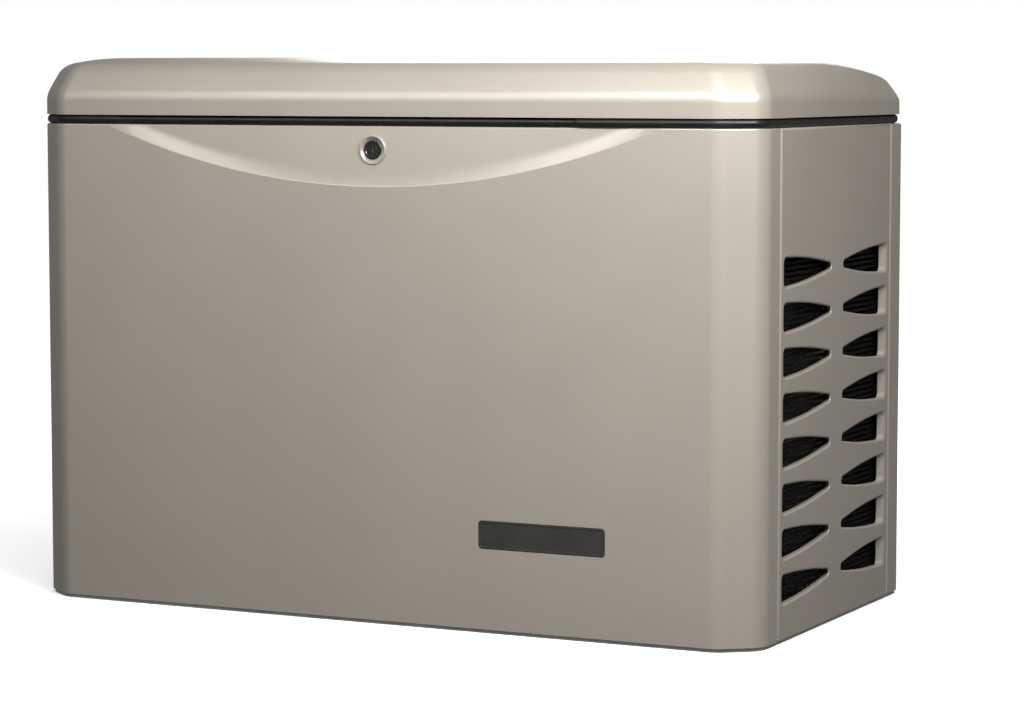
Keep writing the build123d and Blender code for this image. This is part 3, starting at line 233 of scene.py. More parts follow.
@dataclass(frozen=True)
class Foam:
    """Open-cell acoustic foam, with painted shade in its pores."""

    name: str = "acoustic_foam"
    colour: Colour = (0.075, 0.075, 0.078)

    def material(self) -> Material:
        """Returns the foam's material."""
        g = Graph(self.name)
        pores = g.cells(420.0)
        wander = g.noise(12.0, 4.0)
        # Painted shade: the pores are painted dark, down to a third of the foam's colour, and the struts
        # between them lighter.
        tone = g.blend(g.span(pores, 0.0, 1.0, 0.05, 0.5), rgba(self.colour, 0.35), rgba(self.colour, 1.3))
        shade = g.blend(g.span(wander, 0.0, 0.5), tone, rgba(self.colour, 0.7))
        first = g.bump(pores, 0.0015, 0.7)
        return g.dress(Base_Color=shade, Roughness=0.95, Normal=g.bump(wander, 0.004, 0.4, first))


class MetalKind(Enum):
    """How a bare metal surface was made."""

    ROLLED = "rolled"
    CAST = "cast"
    SPANGLED = "spangled"
    STACKED = "stacked"
    HEATED = "heated"


@dataclass(frozen=True)
class BareMetal:
    """Bare metal, with the texture of how it was made."""

    name: str
    colour: Colour
    kind: MetalKind
    roughness: float = 0.38

    def material(self) -> Material:
        """Returns the metal's material."""
        g = Graph(self.name)
        grime = g.noise(14.0, 6.0)
        tone = g.blend(g.span(grime, 0.0, 1.0), rgba(self.colour, 0.8), rgba(self.colour, 1.08))
        rough = self.roughness + g.span(grime, -0.05, 0.12)
        metallic = 1.0
        if self.kind is MetalKind.CAST:
            skin = g.bump(g.noise(650.0, 4.0), 0.0006, 0.6)
            metallic = 0.75
        elif self.kind is MetalKind.SPANGLED:
            spangle = g.cells(55.0, "Color")
            tone = g.blend(0.22, tone, spangle)
            tone = g.blend(0.55, tone, rgba(self.colour))
            skin = g.bump(g.cells(55.0), 0.0003, 0.1)
            metallic = 0.85
        elif self.kind is MetalKind.STACKED:
            leaves = g.waves(260.0)
            tone = g.blend(g.span(leaves, 0.0, 0.6, 0.0, 1.0), rgba(self.colour, 1.1), rgba(self.colour, 0.5))
            skin = g.bump(leaves, 0.0004, 0.5)
        elif self.kind is MetalKind.HEATED:
            heat = g.noise(5.0, 3.0)
            tone = g.blend(g.span(heat, 0.0, 0.7), tone, rgba((0.30, 0.20, 0.12)))
            skin = g.bump(g.noise(180.0, 4.0), 0.0004, 0.3)
        else:
            skin = g.bump(g.noise(90.0, 3.0, (18.0, 1.0, 1.0)), 0.0002, 0.25)
        return g.dress(Base_Color=tone, Roughness=rough, Metallic=metallic, Normal=skin)


@dataclass(frozen=True)
class Moulded:
    """Painted or moulded part with a fine grain."""

    name: str
    colour: Colour
    roughness: float = 0.45
    grain: float = 900.0
    depth: float = 0.0003
    coat: float = 0.0
    specular: float = 0.5

    def material(self) -> Material:
        """Returns the part's material."""
        g = Graph(self.name)
        wear = g.noise(22.0, 5.0)
        tone = g.blend(g.span(wear, 0.0, 1.0), rgba(self.colour, 0.86), rgba(self.colour, 1.12))
        skin = g.bump(g.cells(self.grain), self.depth, 0.35)
        rough = self.roughness + g.span(wear, -0.04, 0.07)
        gloss = {"Coat_Weight": self.coat, "Specular_IOR_Level": self.specular}
        return g.dress(Base_Color=tone, Roughness=rough, Normal=skin, **gloss)


@dataclass(frozen=True)
class Windings:
    """Varnished copper wire laid round the shaft line, with painted shade in the grooves between the wires.
    """

    name: str = "copper_windings"
    colour: Colour = (0.50, 0.19, 0.07)

    def material(self) -> Material:
        """Returns the winding's material."""
        g = Graph(self.name)
        strands = g.waves(170.0)
        # Painted shade: each wire is painted darker towards the grooves beside it, down to about a third of
        # the copper's colour, and lighter on its crown.
        tone = g.blend(g.span(strands, 0.0, 1.0, 0.1, 0.9), rgba(self.colour, 0.35), rgba(self.colour, 1.2))
        rough = g.span(g.noise(60.0), 0.25, 0.42)
        return g.dress(Base_Color=tone, Roughness=rough, Metallic=0.8, Normal=g.bump(strands, 0.0012, 0.8))


COAT = PowderCoat()
RUBBER = SealRubber()
SCREEN_BLACK = Moulded("screen_black", (0.0025, 0.0025, 0.0025), 0.6, specular=0.12)
LOCK_BLACK = Moulded("lock_black", (0.010, 0.010, 0.010), 0.26, 1500.0, 0.0001, 0.3)
BADGE_DARK = Moulded("badge_dark", (0.030, 0.029, 0.027), 0.5, 1300.0, 0.0002, specular=0.3)
ZINC = BareMetal("zinc_steel", (0.58, 0.58, 0.55), MetalKind.ROLLED, 0.30)

NODE_FINISHES = {
    Foam(): ("front_foam",),
    SCREEN_BLACK: ("left_air_screen", "right_air_screen"),
    ZINC: (
        "lock_cam", "roof_catch", "fixed_hinge_leaves", "roof_hinge_leaves", "hinge_pins", "lid_stay",
        "stay_bracket", "mount_bolts", "battery_strap", "muffler_straps",
    ),
    BareMetal("galvanised_sheet", (0.50, 0.51, 0.52), MetalKind.SPANGLED, 0.42): (
        "base_tray", "divider_baffle", "control_mount", "muffler_shelf",
    ),
    Moulded("engine_black", (0.018, 0.018, 0.018), 0.34, 500.0, 0.0002, 0.25): (
        "engine_cradle", "blower_housing", "starter_motor",
    ),
    Moulded("cleaner_black", (0.03, 0.03, 0.031), 0.5): ("air_cleaner_base", "air_cleaner_cover", "dipstick"),
    BareMetal("cast_aluminium", (0.55, 0.55, 0.54), MetalKind.CAST, 0.48): (
        "crankcase", "cylinders", "intake_manifold", "alternator_adapter", "alternator_end_bracket",
        "fuel_regulator",
    ),
    Moulded("cover_black", (0.02, 0.02, 0.021), 0.4, 350.0, 0.0006): ("valve_covers",),
    BareMetal("forged_steel", (0.36, 0.36, 0.37), MetalKind.CAST, 0.36): ("crankshaft", "flywheel_fan"),
    BareMetal("laminated_steel", (0.20, 0.20, 0.21), MetalKind.STACKED, 0.45): (
        "alternator_stator", "alternator_rotor",
    ),
    Windings(): ("stator_windings",),
    Moulded("filter_enamel", (0.62, 0.61, 0.58), 0.22, 300.0, 0.0001, 0.4): ("oil_filter",),
    BareMetal("hot_steel", (0.42, 0.38, 0.34), MetalKind.HEATED, 0.42): ("muffler", "exhaust_pipes"),
    BareMetal("brass_fitting", (0.62, 0.44, 0.17), MetalKind.ROLLED, 0.28): ("fuel_inlet_valve",),
    Moulded("hose_jacket", (0.014, 0.014, 0.014), 0.55, 700.0, 0.0003): ("fuel_hose", "power_leads"),
    Moulded("battery_case", (0.03, 0.03, 0.034), 0.4, 600.0, 0.0004): ("battery",),
    Moulded("control_plastic", (0.055, 0.056, 0.060), 0.5, 1100.0, 0.0003): (
        "controller_case", "circuit_breaker",
    ),
    Moulded("lever_plastic", (0.012, 0.012, 0.012), 0.35, 1500.0, 0.0001): ("breaker_lever",),
    Moulded("screen_glass", (0.045, 0.075, 0.060), 0.08, 2000.0, 0.00001, 1.0): ("controller_screen",),
    Moulded("key_red", (0.45, 0.018, 0.012), 0.32, 1500.0, 0.0001, 0.2): ("off_button",),
    Moulded("key_green", (0.018, 0.26, 0.045), 0.32, 1500.0, 0.0001, 0.2): ("auto_button",),
    Moulded("key_grey", (0.22, 0.22, 0.23), 0.32, 1500.0, 0.0001, 0.2): ("run_button",),
    RUBBER: ("vibration_mounts",),
}


# ---------------------------------------------------------------- modelling by hand
@contextmanager
def editing(piece: Piece) -> Iterator[None]:
    """Opens one piece in edit mode with nothing selected, and leaves edit mode at the end."""
    select_only(piece)
    bpy.ops.object.mode_set(mode="EDIT")
    bpy.ops.mesh.select_all(action="DESELECT")
    yield
    bpy.ops.object.mode_set(mode="OBJECT")


def pick(piece: Piece, kind: str, test: Callable[..., bool]) -> int:
    """Selects what passes a test in edit mode, and nothing else.

    Args:
        piece: The piece that is in edit mode.
        kind: VERT, EDGE or FACE.
        test: Takes the vertex, edge or face.

    Returns:
        How many were selected.
    """
    bpy.ops.mesh.select_mode(type=kind)
    bpy.ops.mesh.select_all(action="DESELECT")
    mesh = bmesh.from_edit_mesh(piece.data)
    found = {"VERT": mesh.verts, "EDGE": mesh.edges, "FACE": mesh.faces}[kind]
    chosen = [part for part in found if test(part)]
    for part in chosen:
        part.select_set(True)
    bmesh.update_edit_mesh(piece.data)
    return len(chosen)


def cut_across(point: Point, normal: Point, **settings: object) -> None:
    """Selects the whole mesh and bisects it with a plane."""
    bpy.ops.mesh.select_all(action="SELECT")
    bpy.ops.mesh.bisect(plane_co=point, plane_no=normal, **settings)


def bevel(offset: float, segments: int, affect: str = "EDGES") -> None:
    """Bevels what is selected by a set size, even where bevels meet."""
    bpy.ops.mesh.bevel(offset=offset, segments=segments, affect=affect, clamp_overlap=False)


def pull(x: float, y: float, z: float) -> None:
    """Extrudes what is selected."""
    bpy.ops.mesh.extrude_region_move(TRANSFORM_OT_translate={"value": (x, y, z)})


def delete_faces(piece: Piece, test: Callable[..., bool]) -> None:
    """Deletes the faces that pass a test."""
    pick(piece, "FACE", test)
    bpy.ops.mesh.delete(type="FACE")


def at_y(place: float) -> Callable[[Vert], bool]:
    """Test for the points that lie at one place along Y."""
    return lambda vert: abs(vert.co.y - place) < CLOSE


def move(x: float, y: float, z: float) -> None:
    """Moves what is selected."""
    bpy.ops.transform.translate(value=(x, y, z))


def stretch(value: Point, centre: Point) -> None:
    """Scales what is selected about a point."""
    bpy.ops.transform.resize(value=value, center_override=centre)


def middle(edge: Edge) -> Vector:
    """Middle point of an edge."""
    return (edge.verts[0].co + edge.verts[1].co) / 2


def upright(edge: Edge) -> bool:
    """Whether an edge runs along Z."""
    run = edge.verts[1].co - edge.verts[0].co
    return abs(run.x) < CLOSE and abs(run.y) < CLOSE


def along_y(edge: Edge) -> bool:
    """Whether an edge runs from front to rear."""
    return abs(edge.verts[0].co.y - edge.verts[1].co.y) > CLOSE


def placed(name: str) -> Piece:
    """Names the primitive just added and moves its place, turn and size into its mesh."""
    piece = bpy.context.view_layer.objects.active
    piece.name = name
    piece.data.name = name
    bpy.ops.object.transform_apply(location=True, rotation=True, scale=True)
    return piece


def select_only(piece: Piece) -> None:
    """Selects one piece, makes it active and deselects the rest."""
    bpy.ops.object.select_all(action="DESELECT")
    piece.select_set(True)
    bpy.context.view_layer.objects.active = piece


def add_cube(name: str, centre: Point, size: Point) -> Piece:
    """Adds a box by its centre and its three sides."""
    bpy.ops.object.select_all(action="DESELECT")
    bpy.ops.mesh.primitive_cube_add(size=1.0, location=centre, scale=size)
    return placed(name)


def add_cylinder(
    name: str, centre: Point, radius: float, depth: float, facets: int, spin: float = 0.0
) -> Piece:
    """Adds a cylinder whose ends face the front and the rear.

    Args:
        name: The piece's name.
        centre: Middle of the cylinder.
        radius: Its radius.
        depth: Its length along Y.
        facets: How many sides it has.
        spin: Turn about its own length, in radians.

    Returns:
        The cylinder, with its place in its mesh.
    """
    bpy.ops.object.select_all(action="DESELECT")
    bpy.ops.mesh.primitive_cylinder_add(
        vertices=facets, radius=radius, depth=depth, location=centre, rotation=(math.pi / 2, spin, 0)
    )
    return placed(name)


def with_modifier(piece: Piece, kind: str, **settings: object) -> None:
    """Adds a modifier with its settings and applies it."""
    select_only(piece)
    modifier = piece.modifiers.new(kind.lower(), kind)
    for key, value in settings.items():
        setattr(modifier, key, value)
    bpy.ops.object.modifier_apply(modifier=modifier.name)


def thicken(sheet: Piece, wall: float) -> None:
    """Gives a surface its thickness, inwards."""
    with_modifier(sheet, "SOLIDIFY", thickness=wall, offset=-1.0, use_even_offset=False)


def cut_out(piece: Piece, tool: Piece) -> None:
    """Cuts a tool's volume out of a piece and removes the tool."""
    with_modifier(piece, "BOOLEAN", object=tool, operation="DIFFERENCE", solver="EXACT")
    bpy.data.objects.remove(tool, do_unlink=True)


def smooth(piece: Piece, degrees: float = 32.0) -> None:
    """Shades a piece smooth, with sharp edges kept above an angle."""
    select_only(piece)
    bpy.ops.object.shade_smooth_by_angle(angle=math.radians(degrees))
    with_modifier(piece, "WEIGHTED_NORMAL", mode="FACE_AREA", weight=100, keep_sharp=True)


def finish_piece(
    piece: Piece, material: Material, body: str, stands_for: tuple[str, ...] = ()
) -> None:
    """Gives a piece its material and body, and hides the CAD nodes that it stands for."""
    piece.data.materials.clear()
    piece.data.materials.append(material)
    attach(piece, body)
    if stands_for:
        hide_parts(*stands_for)
    LOG.info("%s: %d faces, rides on %s", piece.name, len(piece.data.polygons), body)


# ---------------------------------------------------------------- shared sizes
@dataclass(frozen=True)
class Cabinet:
    """Outer sizes of the cabinet, read from the frame's boxes where they can be."""

    low: Vector
    high: Vector
    panel_top: float
    panel_bottom: float
    lid_bottom: float
    corner_x: float = 0.056
    corner_y: float = 0.043
    corner_radius: float = 0.038
    corner_steps: int = 7

    @property
    def half_x(self) -> float:
        """Half of the cabinet's length."""
        return self.high.x

    @property
    def half_y(self) -> float:
        """Half of the cabinet's depth."""
        return self.high.y

    def under(self, face: Face) -> bool:
        """Whether a face is the panels' underside."""
        return face.normal.z < -0.9 and face.calc_center_median().z < self.panel_bottom + CLOSE

    def block(self, name: str, low: float, high: float, shrink: float = 0.0) -> Piece:
        """Solid block with the cabinet's cut and rounded corners.

        Args:
            name: The piece's name.
            low: Height of its underside.
            high: Height of its top.
            shrink: How far each side is moved in.

        Returns:
            The block, with its place in its mesh.
        """
        half_x, half_y = self.half_x - shrink, self.half_y - shrink
        block = add_cube(name, (0, 0, (low + high) / 2), (2 * half_x, 2 * half_y, high - low))
        slide = self.corner_x - self.corner_y
        turn = math.atan2(self.corner_x, self.corner_y)
        end_run = self.corner_radius * math.tan(turn / 2)
        front_run = self.corner_radius * math.tan((math.pi / 2 - turn) / 2)
        with editing(block):
            pick(block, "EDGE", upright)
            bevel(self.corner_y, 1)
            for side in (-1, 1):
                pick(block, "VERT", lambda v: abs(abs(v.co.y) - half_y) < CLOSE and v.co.x * side > 0)
                move(-side * slide, 0, 0)
            pick(block, "EDGE", lambda e: upright(e) and abs(abs(middle(e).x) - half_x) < CLOSE)
            bevel(end_run, self.corner_steps)
            pick(block, "EDGE", lambda e: upright(e) and abs(abs(middle(e).y) - half_y) < CLOSE)
            bevel(front_run, self.corner_steps)
        return block


# ---------------------------------------------------------------- roof and seal
@dataclass
class Roof:
    """Pressed roof: upright lip, leaning side, soft shoulder, flat front half and a long fall to the rear."""

    cabinet: Cabinet
    name: str = "roof_skin"
    inset: float = 0.0
    low: float = 0.757
    lip_top: float = 0.778
    shoulder_arcs: tuple[tuple[float, float, int], ...] = (
        (22.0, 0.0180, 4), (3.0, 0.0275, 2), (50.0, 0.0260, 8), (15.0, 0.0600, 5)
    )
    fall_start: float = -0.06
    rear_drop: float = 0.032
    fall_base: float = 0.768
    fall_slices: int = 20
    slice_snap: float = 0.0008
    top_gap: float = 0.0005
    rear_narrow: float = 0.006
    wall: float = 0.003

    def profile(self, rise: float) -> list[tuple[float, float]]:
        """Follows the shoulder's arcs from the lip.

        Args:
            rise: Height from the lip to the flat top.

        Returns:
            How far in and how far up each ring lies.
        """
        inward, upward, lean = 0.0, 0.0, 0.0
        points = []
        for turn, length, steps in self.shoulder_arcs:
            for _ in range(steps):
                angle = math.radians(lean + turn / steps / 2)
                inward += math.sin(angle) * length / steps
                upward += math.cos(angle) * length / steps
                lean += turn / steps
                points.append((inward, upward))
        return [(in_by, up_by * rise / upward) for in_by, up_by in points]

    def build(self) -> Piece:
        """Models the roof's skin or, with an inset, the lining under it.

        Returns:
            The finished piece.
        """
        cab = self.cabinet
        top = cab.high.z - self.top_gap - self.inset
        skin = cab.block(self.name, self.low, self.lip_top, self.inset)
        with editing(skin):
            pick(skin, "FACE", lambda f: f.normal.z > 0.9)
            self.raise_shoulder(top)
            self.cut_slices()
            self.let_fall(skin, top)
            delete_faces(skin, lambda f: f.normal.z < -0.9 and f.calc_center_median().z < self.low + CLOSE)
        thicken(skin, self.wall)
        smooth(skin, 35)
        return skin

    def raise_shoulder(self, top: float) -> None:
        """Extrudes the top face up and in, ring by ring."""
        half_x = self.cabinet.half_x - self.inset
        half_y = self.cabinet.half_y - self.inset
        last_in, last_up = 0.0, 0.0
        for inward, upward in self.profile(top - self.lip_top):
            pull(0, 0, upward - last_up)
            shrink_x = (half_x - inward) / (half_x - last_in)
            shrink_y = (half_y - inward) / (half_y - last_in)
            stretch((shrink_x, shrink_y, 1), (0, 0, 0))
            last_in, last_up = inward, upward

    def cut_slices(self) -> None:
        """Cuts the skin across at even steps, so that its rear half can curve."""
        reach = self.cabinet.half_y - self.fall_start
        for step in range(self.fall_slices):
            spot = self.fall_start + reach * step / self.fall_slices
            cut_across((0, spot, 0), (0, 1, 0), threshold=self.slice_snap)

    def let_fall(self, skin: Piece, top: float) -> None:
        """Lowers and narrows each slice behind the start of the fall, more towards the rear."""
        run = self.cabinet.half_y - self.fall_start
        radius = (run**2 + self.rear_drop**2) / (2 * self.rear_drop)
        mesh = bmesh.from_edit_mesh(skin.data)
        places = sorted({round(v.co.y, 4) for v in mesh.verts if v.co.y > self.fall_start + SAME_SLICE})
        for place in places:
            drop = radius - math.sqrt(radius**2 - (place - self.fall_start) ** 2)
            squeeze = (top - drop - self.fall_base) / (top - self.fall_base)
            pick(skin, "VERT", lambda v: round(v.co.y, 4) == place and v.co.z > self.fall_base)
            stretch((1, 1, squeeze), (0, place, self.fall_base))
            narrow = 1 - self.rear_narrow * (place - self.fall_start) / run
            pick(skin, "VERT", lambda v: round(v.co.y, 4) == place)
            stretch((narrow, 1, 1), (0, place, 0))

    def dress(self, skin: Piece, material: Material, slot: str, stands_for: str) -> None:
        """Gives the piece its finish and its body."""
        finish_piece(skin, material, "roof", (stands_for,))


@dataclass
class Seal:
    """Rubber bead in the gap between the panels and the roof."""

    cabinet: Cabinet
    width: float = 0.014
    round_off: float = 0.0063
    tuck: float = 0.0006
    rear_stop: float = 0.319
    pressed: tuple[float, float] = (-0.450, 0.335)
    press_depth: float = 0.0035
    press_steps: Steps = ((0.004, 0.6), (0.011, 0.4))
    rear_share: float = 0.992
    gap_below: float = 0.0002
    gap_above: float = 0.0001

    def build(self) -> Piece:
        """Models the bead as a closed ring.

        Returns:
            The finished bead.
        """
        cab = self.cabinet
        low, high = cab.panel_top + self.gap_below, cab.lid_bottom - self.gap_above
        bead = cab.block("seal_bead", low, high, self.tuck)
        with editing(bead):
            pick(bead, "FACE", lambda f: abs(f.normal.z) > 0.9)
            bpy.ops.mesh.inset(thickness=self.width)
            bpy.ops.mesh.delete(type="FACE")
            pick(bead, "EDGE", lambda e: not upright(e) and e.is_manifold and abs(e.calc_face_angle(0)) > 1.0)
            bevel(self.round_off, 5)
            pick(bead, "EDGE", lambda e: e.is_boundary)
            bpy.ops.mesh.bridge_edge_loops()
            pick(bead, "VERT", lambda v: v.co.y > self.rear_stop)
            stretch((1, 0, 1), (0, self.rear_stop, 0))
            pick(bead, "VERT", lambda v: v.co.y > 0)
            stretch((self.rear_share, 1, 1), (0, 0, 0))
            for place in self.pressed:
                for step in (0.0, *(run for run, _ in self.press_steps)):
                    cut_across((place - math.copysign(step, place), 0, 0), (1, 0, 0))
            for step, share in self.press_steps:
                pick(bead, "VERT", lambda v: v.co.y < 0 and self.between(v.co.x, step))
                move(0, share * self.press_depth, 0)
        smooth(bead, 50)
        return bead

    def between(self, x: float, step: float) -> bool:
        """Whether a place is in the pressed length, a step in from its ends."""
        return self.pressed[0] + step - CLOSE < x < self.pressed[1] - step + CLOSE

    def dress(self, bead: Piece, rubber: Material) -> None:
        """Gives the bead its finish and its body."""
        finish_piece(bead, rubber, "roof", ("roof_seal",))


# ---------------------------------------------------------------- panels
@dataclass
class WrapPanel:
    """Panel that wraps two corners of the cabinet, with folded seams and a folded top."""

    cabinet: Cabinet
    name: str
    body: str
    stands_for: str
    seam: float
    faces_front: bool
    fold: float = 0.013
    seam_round: float = 0.0046
    top_round: float = 0.0024
    top_steps: Steps = ((0.29, 1.0), (0.71, 0.29))
    spare: float = 0.02
    merge: float = 0.0003
    ring_corners: int = 12
    wall: float = 0.0024

    def build(self) -> Piece:
        """Models the panel's skin.

        Returns:
            The finished skin.
        """
        cab = self.cabinet
        skin = cab.block(self.name, cab.panel_bottom, cab.panel_top + self.spare)
        self.press(skin)
        with editing(skin):
            cut_across((0, 0, cab.panel_top), (0, 0, 1), clear_outer=True, use_fill=True, threshold=1e-6)
            bpy.ops.mesh.remove_doubles(threshold=self.merge, use_unselected=False)
            for inward, drop in self.top_steps:
                pick(skin, "FACE", self.on_top)
                bpy.ops.mesh.inset(thickness=inward * self.top_round)
                pick(skin, "VERT", self.on_rim)
                move(0, 0, -drop * self.top_round)
            pick(skin, "FACE", self.on_top)
            bpy.ops.mesh.inset(thickness=self.fold)
            bpy.ops.mesh.delete(type="FACE")
            delete_faces(skin, cab.under)
            keep_front = {"clear_outer": self.faces_front, "clear_inner": not self.faces_front}
            cut_across((0, self.seam, 0), (0, 1, 0), **keep_front)
            for side in (-1, 1):
                pick(skin, "EDGE", lambda e: self.on_open_seam(e, side))
                bpy.ops.mesh.extrude_edges_move(TRANSFORM_OT_translate={"value": (-side * self.fold, 0, 0)})
            pick(skin, "EDGE", lambda e: not e.is_boundary and self.on_seam_edge(e))
            bevel(self.seam_round, 5)
            self.trim(skin)
        thicken(skin, self.wall)
        self.pierce(skin)
        smooth(skin, 30)
        return skin

    def on_seam_edge(self, edge: Edge) -> bool:
        """Whether an edge is the upright line where the panel's side meets the seam."""
        centre = middle(edge)
        at_side = abs(abs(centre.x) - self.cabinet.half_x) < CLOSE
        return upright(edge) and at_side and abs(centre.y - self.seam) < CLOSE

    def on_open_seam(self, edge: Edge, side: int) -> bool:
        """Whether an edge is the open one at the seam on one side."""
        return edge.is_boundary and self.on_seam_edge(edge) and middle(edge).x * side > 0

    def on_top(self, face: Face) -> bool:
        """Whether a face is part of the level top."""
        return face.normal.z > 0.99 and face.calc_center_median().z > self.cabinet.panel_top - CLOSE

    def on_rim(self, vert: Vert) -> bool:
        """Whether a point of the level top lies outside its middle face."""
        level = abs(vert.co.z - self.cabinet.panel_top) < CLOSE
        return level and all(
            len(face.verts) < self.ring_corners or abs(face.normal.z) < 0.9 for face in vert.link_faces
        )

    def press(self, skin: Piece) -> None:
        """Presses shapes into the solid block, before it becomes a sheet."""

    def trim(self, skin: Piece) -> None:
        """Removes parts of the folds."""

    def pierce(self, skin: Piece) -> None:
        """Cuts holes through the finished sheet."""

    def dress(self, skin: Piece, coat: Material) -> None:
        """Gives the panel its finish and its body."""
        finish_piece(skin, coat, self.body, (self.stands_for,))


@dataclass
class FrontPanel(WrapPanel):
    """Front panel with the wide curved recess under the roof's edge."""

    recess_low: float = 0.653
    recess_half: float = 0.467
    inner_low: float = 0.675
    inner_half: float = 0.414
    recess_depth: float = 0.0026
    recess_lean: float = 3.6
    step_depth: float = 0.0010
    step_run: float = 0.0016
    inner_round: float = 0.005
    arc_off_face: float = 5e-5
    arc_off_line: float = 4e-4
    facets: int = 1024
    plate_low: Point = (0.0, 0.0, 0.0)
    plate_high: Point = (0.0, 0.0, 0.0)
    plate_corner: float = 0.0062
    plate_room: float = 0.0004
    overshoot: float = 0.02

    def pierce(self, skin: Piece) -> None:
        """Opens the sheet for the name plate."""
        low, high = Vector(self.plate_low), Vector(self.plate_high)
        size = (high.x - low.x + self.plate_room, self.overshoot, high.z - low.z + self.plate_room)
        tool = add_cube("plate_tool", (low + high) / 2, size)
        with editing(tool):
            pick(tool, "EDGE", along_y)
            bevel(self.plate_corner, 7)
        cut_out(skin, tool)

    def arc(self, low: float, half: float) -> tuple[float, float]:
        """Radius and centre height of the arc that is low at the middle and meets the top at half."""
        rise = self.cabinet.panel_top - low
        radius = (half**2 + rise**2) / (2 * rise)
        return radius, low + radius

    def face_at(self, height: float) -> float:
        """Where the leaning face of the recess lies at a height."""
        lean = math.tan(math.radians(self.recess_lean)) * (height - self.inner_low)
        return self.recess_depth + lean - self.cabinet.half_y

    def press(self, skin: Piece) -> None:
        """Presses the recess with a large shallow disc whose inner end is higher."""
        cab = self.cabinet
        front = -cab.half_y
        radius, centre = self.arc(self.recess_low, self.recess_half)
        inner_radius, inner_centre = self.arc(self.inner_low, self.inner_half)
        depth = self.recess_depth + self.overshoot
        middle_y = front + self.recess_depth - depth / 2
        half_facet = math.pi / self.facets
        tool = add_cylinder("recess_tool", (0, middle_y, centre), radius, depth, self.facets, half_facet)
        inner_end = front + self.recess_depth
        ratio = inner_radius / radius
        with editing(tool):
            step = front + self.step_depth
            for place in (front, step):
                cut_across((0, place, 0), (0, 1, 0))
            shrink = (radius - self.step_run) / radius
            pick(tool, "VERT", at_y(step))
            stretch((shrink, 1, shrink), (0, step, centre))
            pick(tool, "VERT", at_y(inner_end))
            stretch((ratio, 1, ratio), (0, inner_end, centre))
            move(0, 0, inner_centre - centre)
            pivot = (0, inner_end, self.inner_low)
            lean = math.radians(self.recess_lean)
            bpy.ops.transform.rotate(value=lean, orient_axis="X", center_override=pivot)
        cut_out(skin, tool)
        with editing(skin):
            pick(skin, "EDGE", lambda e: self.on_arc(e, inner_radius, inner_centre))
            bevel(self.inner_round, 5)
            pick(skin, "VERT", lambda v: v.co.y < front - 1e-7)
            stretch((1, 0, 1), (0, front, 0))

    def on_arc(self, edge: Edge, radius: float, centre: float) -> bool:
        """Whether an edge lies on the arc where the recess's leaning face ends."""
        if any(abs(v.co.y - self.face_at(v.co.z)) > self.arc_off_face for v in edge.verts):
            return False
        return all(abs(math.hypot(v.co.x, v.co.z - centre) - radius) < self.arc_off_line for v in edge.verts)


@dataclass
class RearPanel(WrapPanel):
    """Rear panel with the fuel and conduit holes, open above at the hinges."""

    fuel_hole: tuple[float, float] = (-0.450, 0.150)
    conduit_hole: tuple[float, float] = (0.250, 0.160)
    hinge_places: tuple[float, ...] = (-0.4, 0.0, 0.4)
    hinge_room: float = 0.037
    hole_radius: float = 0.018
    hole_depth: float = 0.03

    def on_fold(self, face: Face) -> bool:
        """Whether a face belongs to the fold along the rear's top."""
        return face.normal.z > 0.9 and face.calc_center_median().y > self.cabinet.half_y - 2 * self.fold

    def at_hinge(self, face: Face, place: float) -> bool:
        """Whether a face of the fold lies in a hinge's room."""
        return self.on_fold(face) and abs(face.calc_center_median().x - place) < self.hinge_room

    def trim(self, skin: Piece) -> None:
        """Opens the top fold at the hinges."""
        for place in self.hinge_places:
            for side in (-1, 1):
                pick(skin, "FACE", self.on_fold)
                bpy.ops.mesh.bisect(plane_co=(place + side * self.hinge_room, 0, 0), plane_no=(1, 0, 0))
            delete_faces(skin, lambda f: self.at_hinge(f, place))

    def pierce(self, skin: Piece) -> None:
        """Cuts the two round holes."""
        for x, z in (self.fuel_hole, self.conduit_hole):
            place = (x, self.cabinet.half_y, z)
            cut_out(skin, add_cylinder("hole_tool", place, self.hole_radius, self.hole_depth, 64))


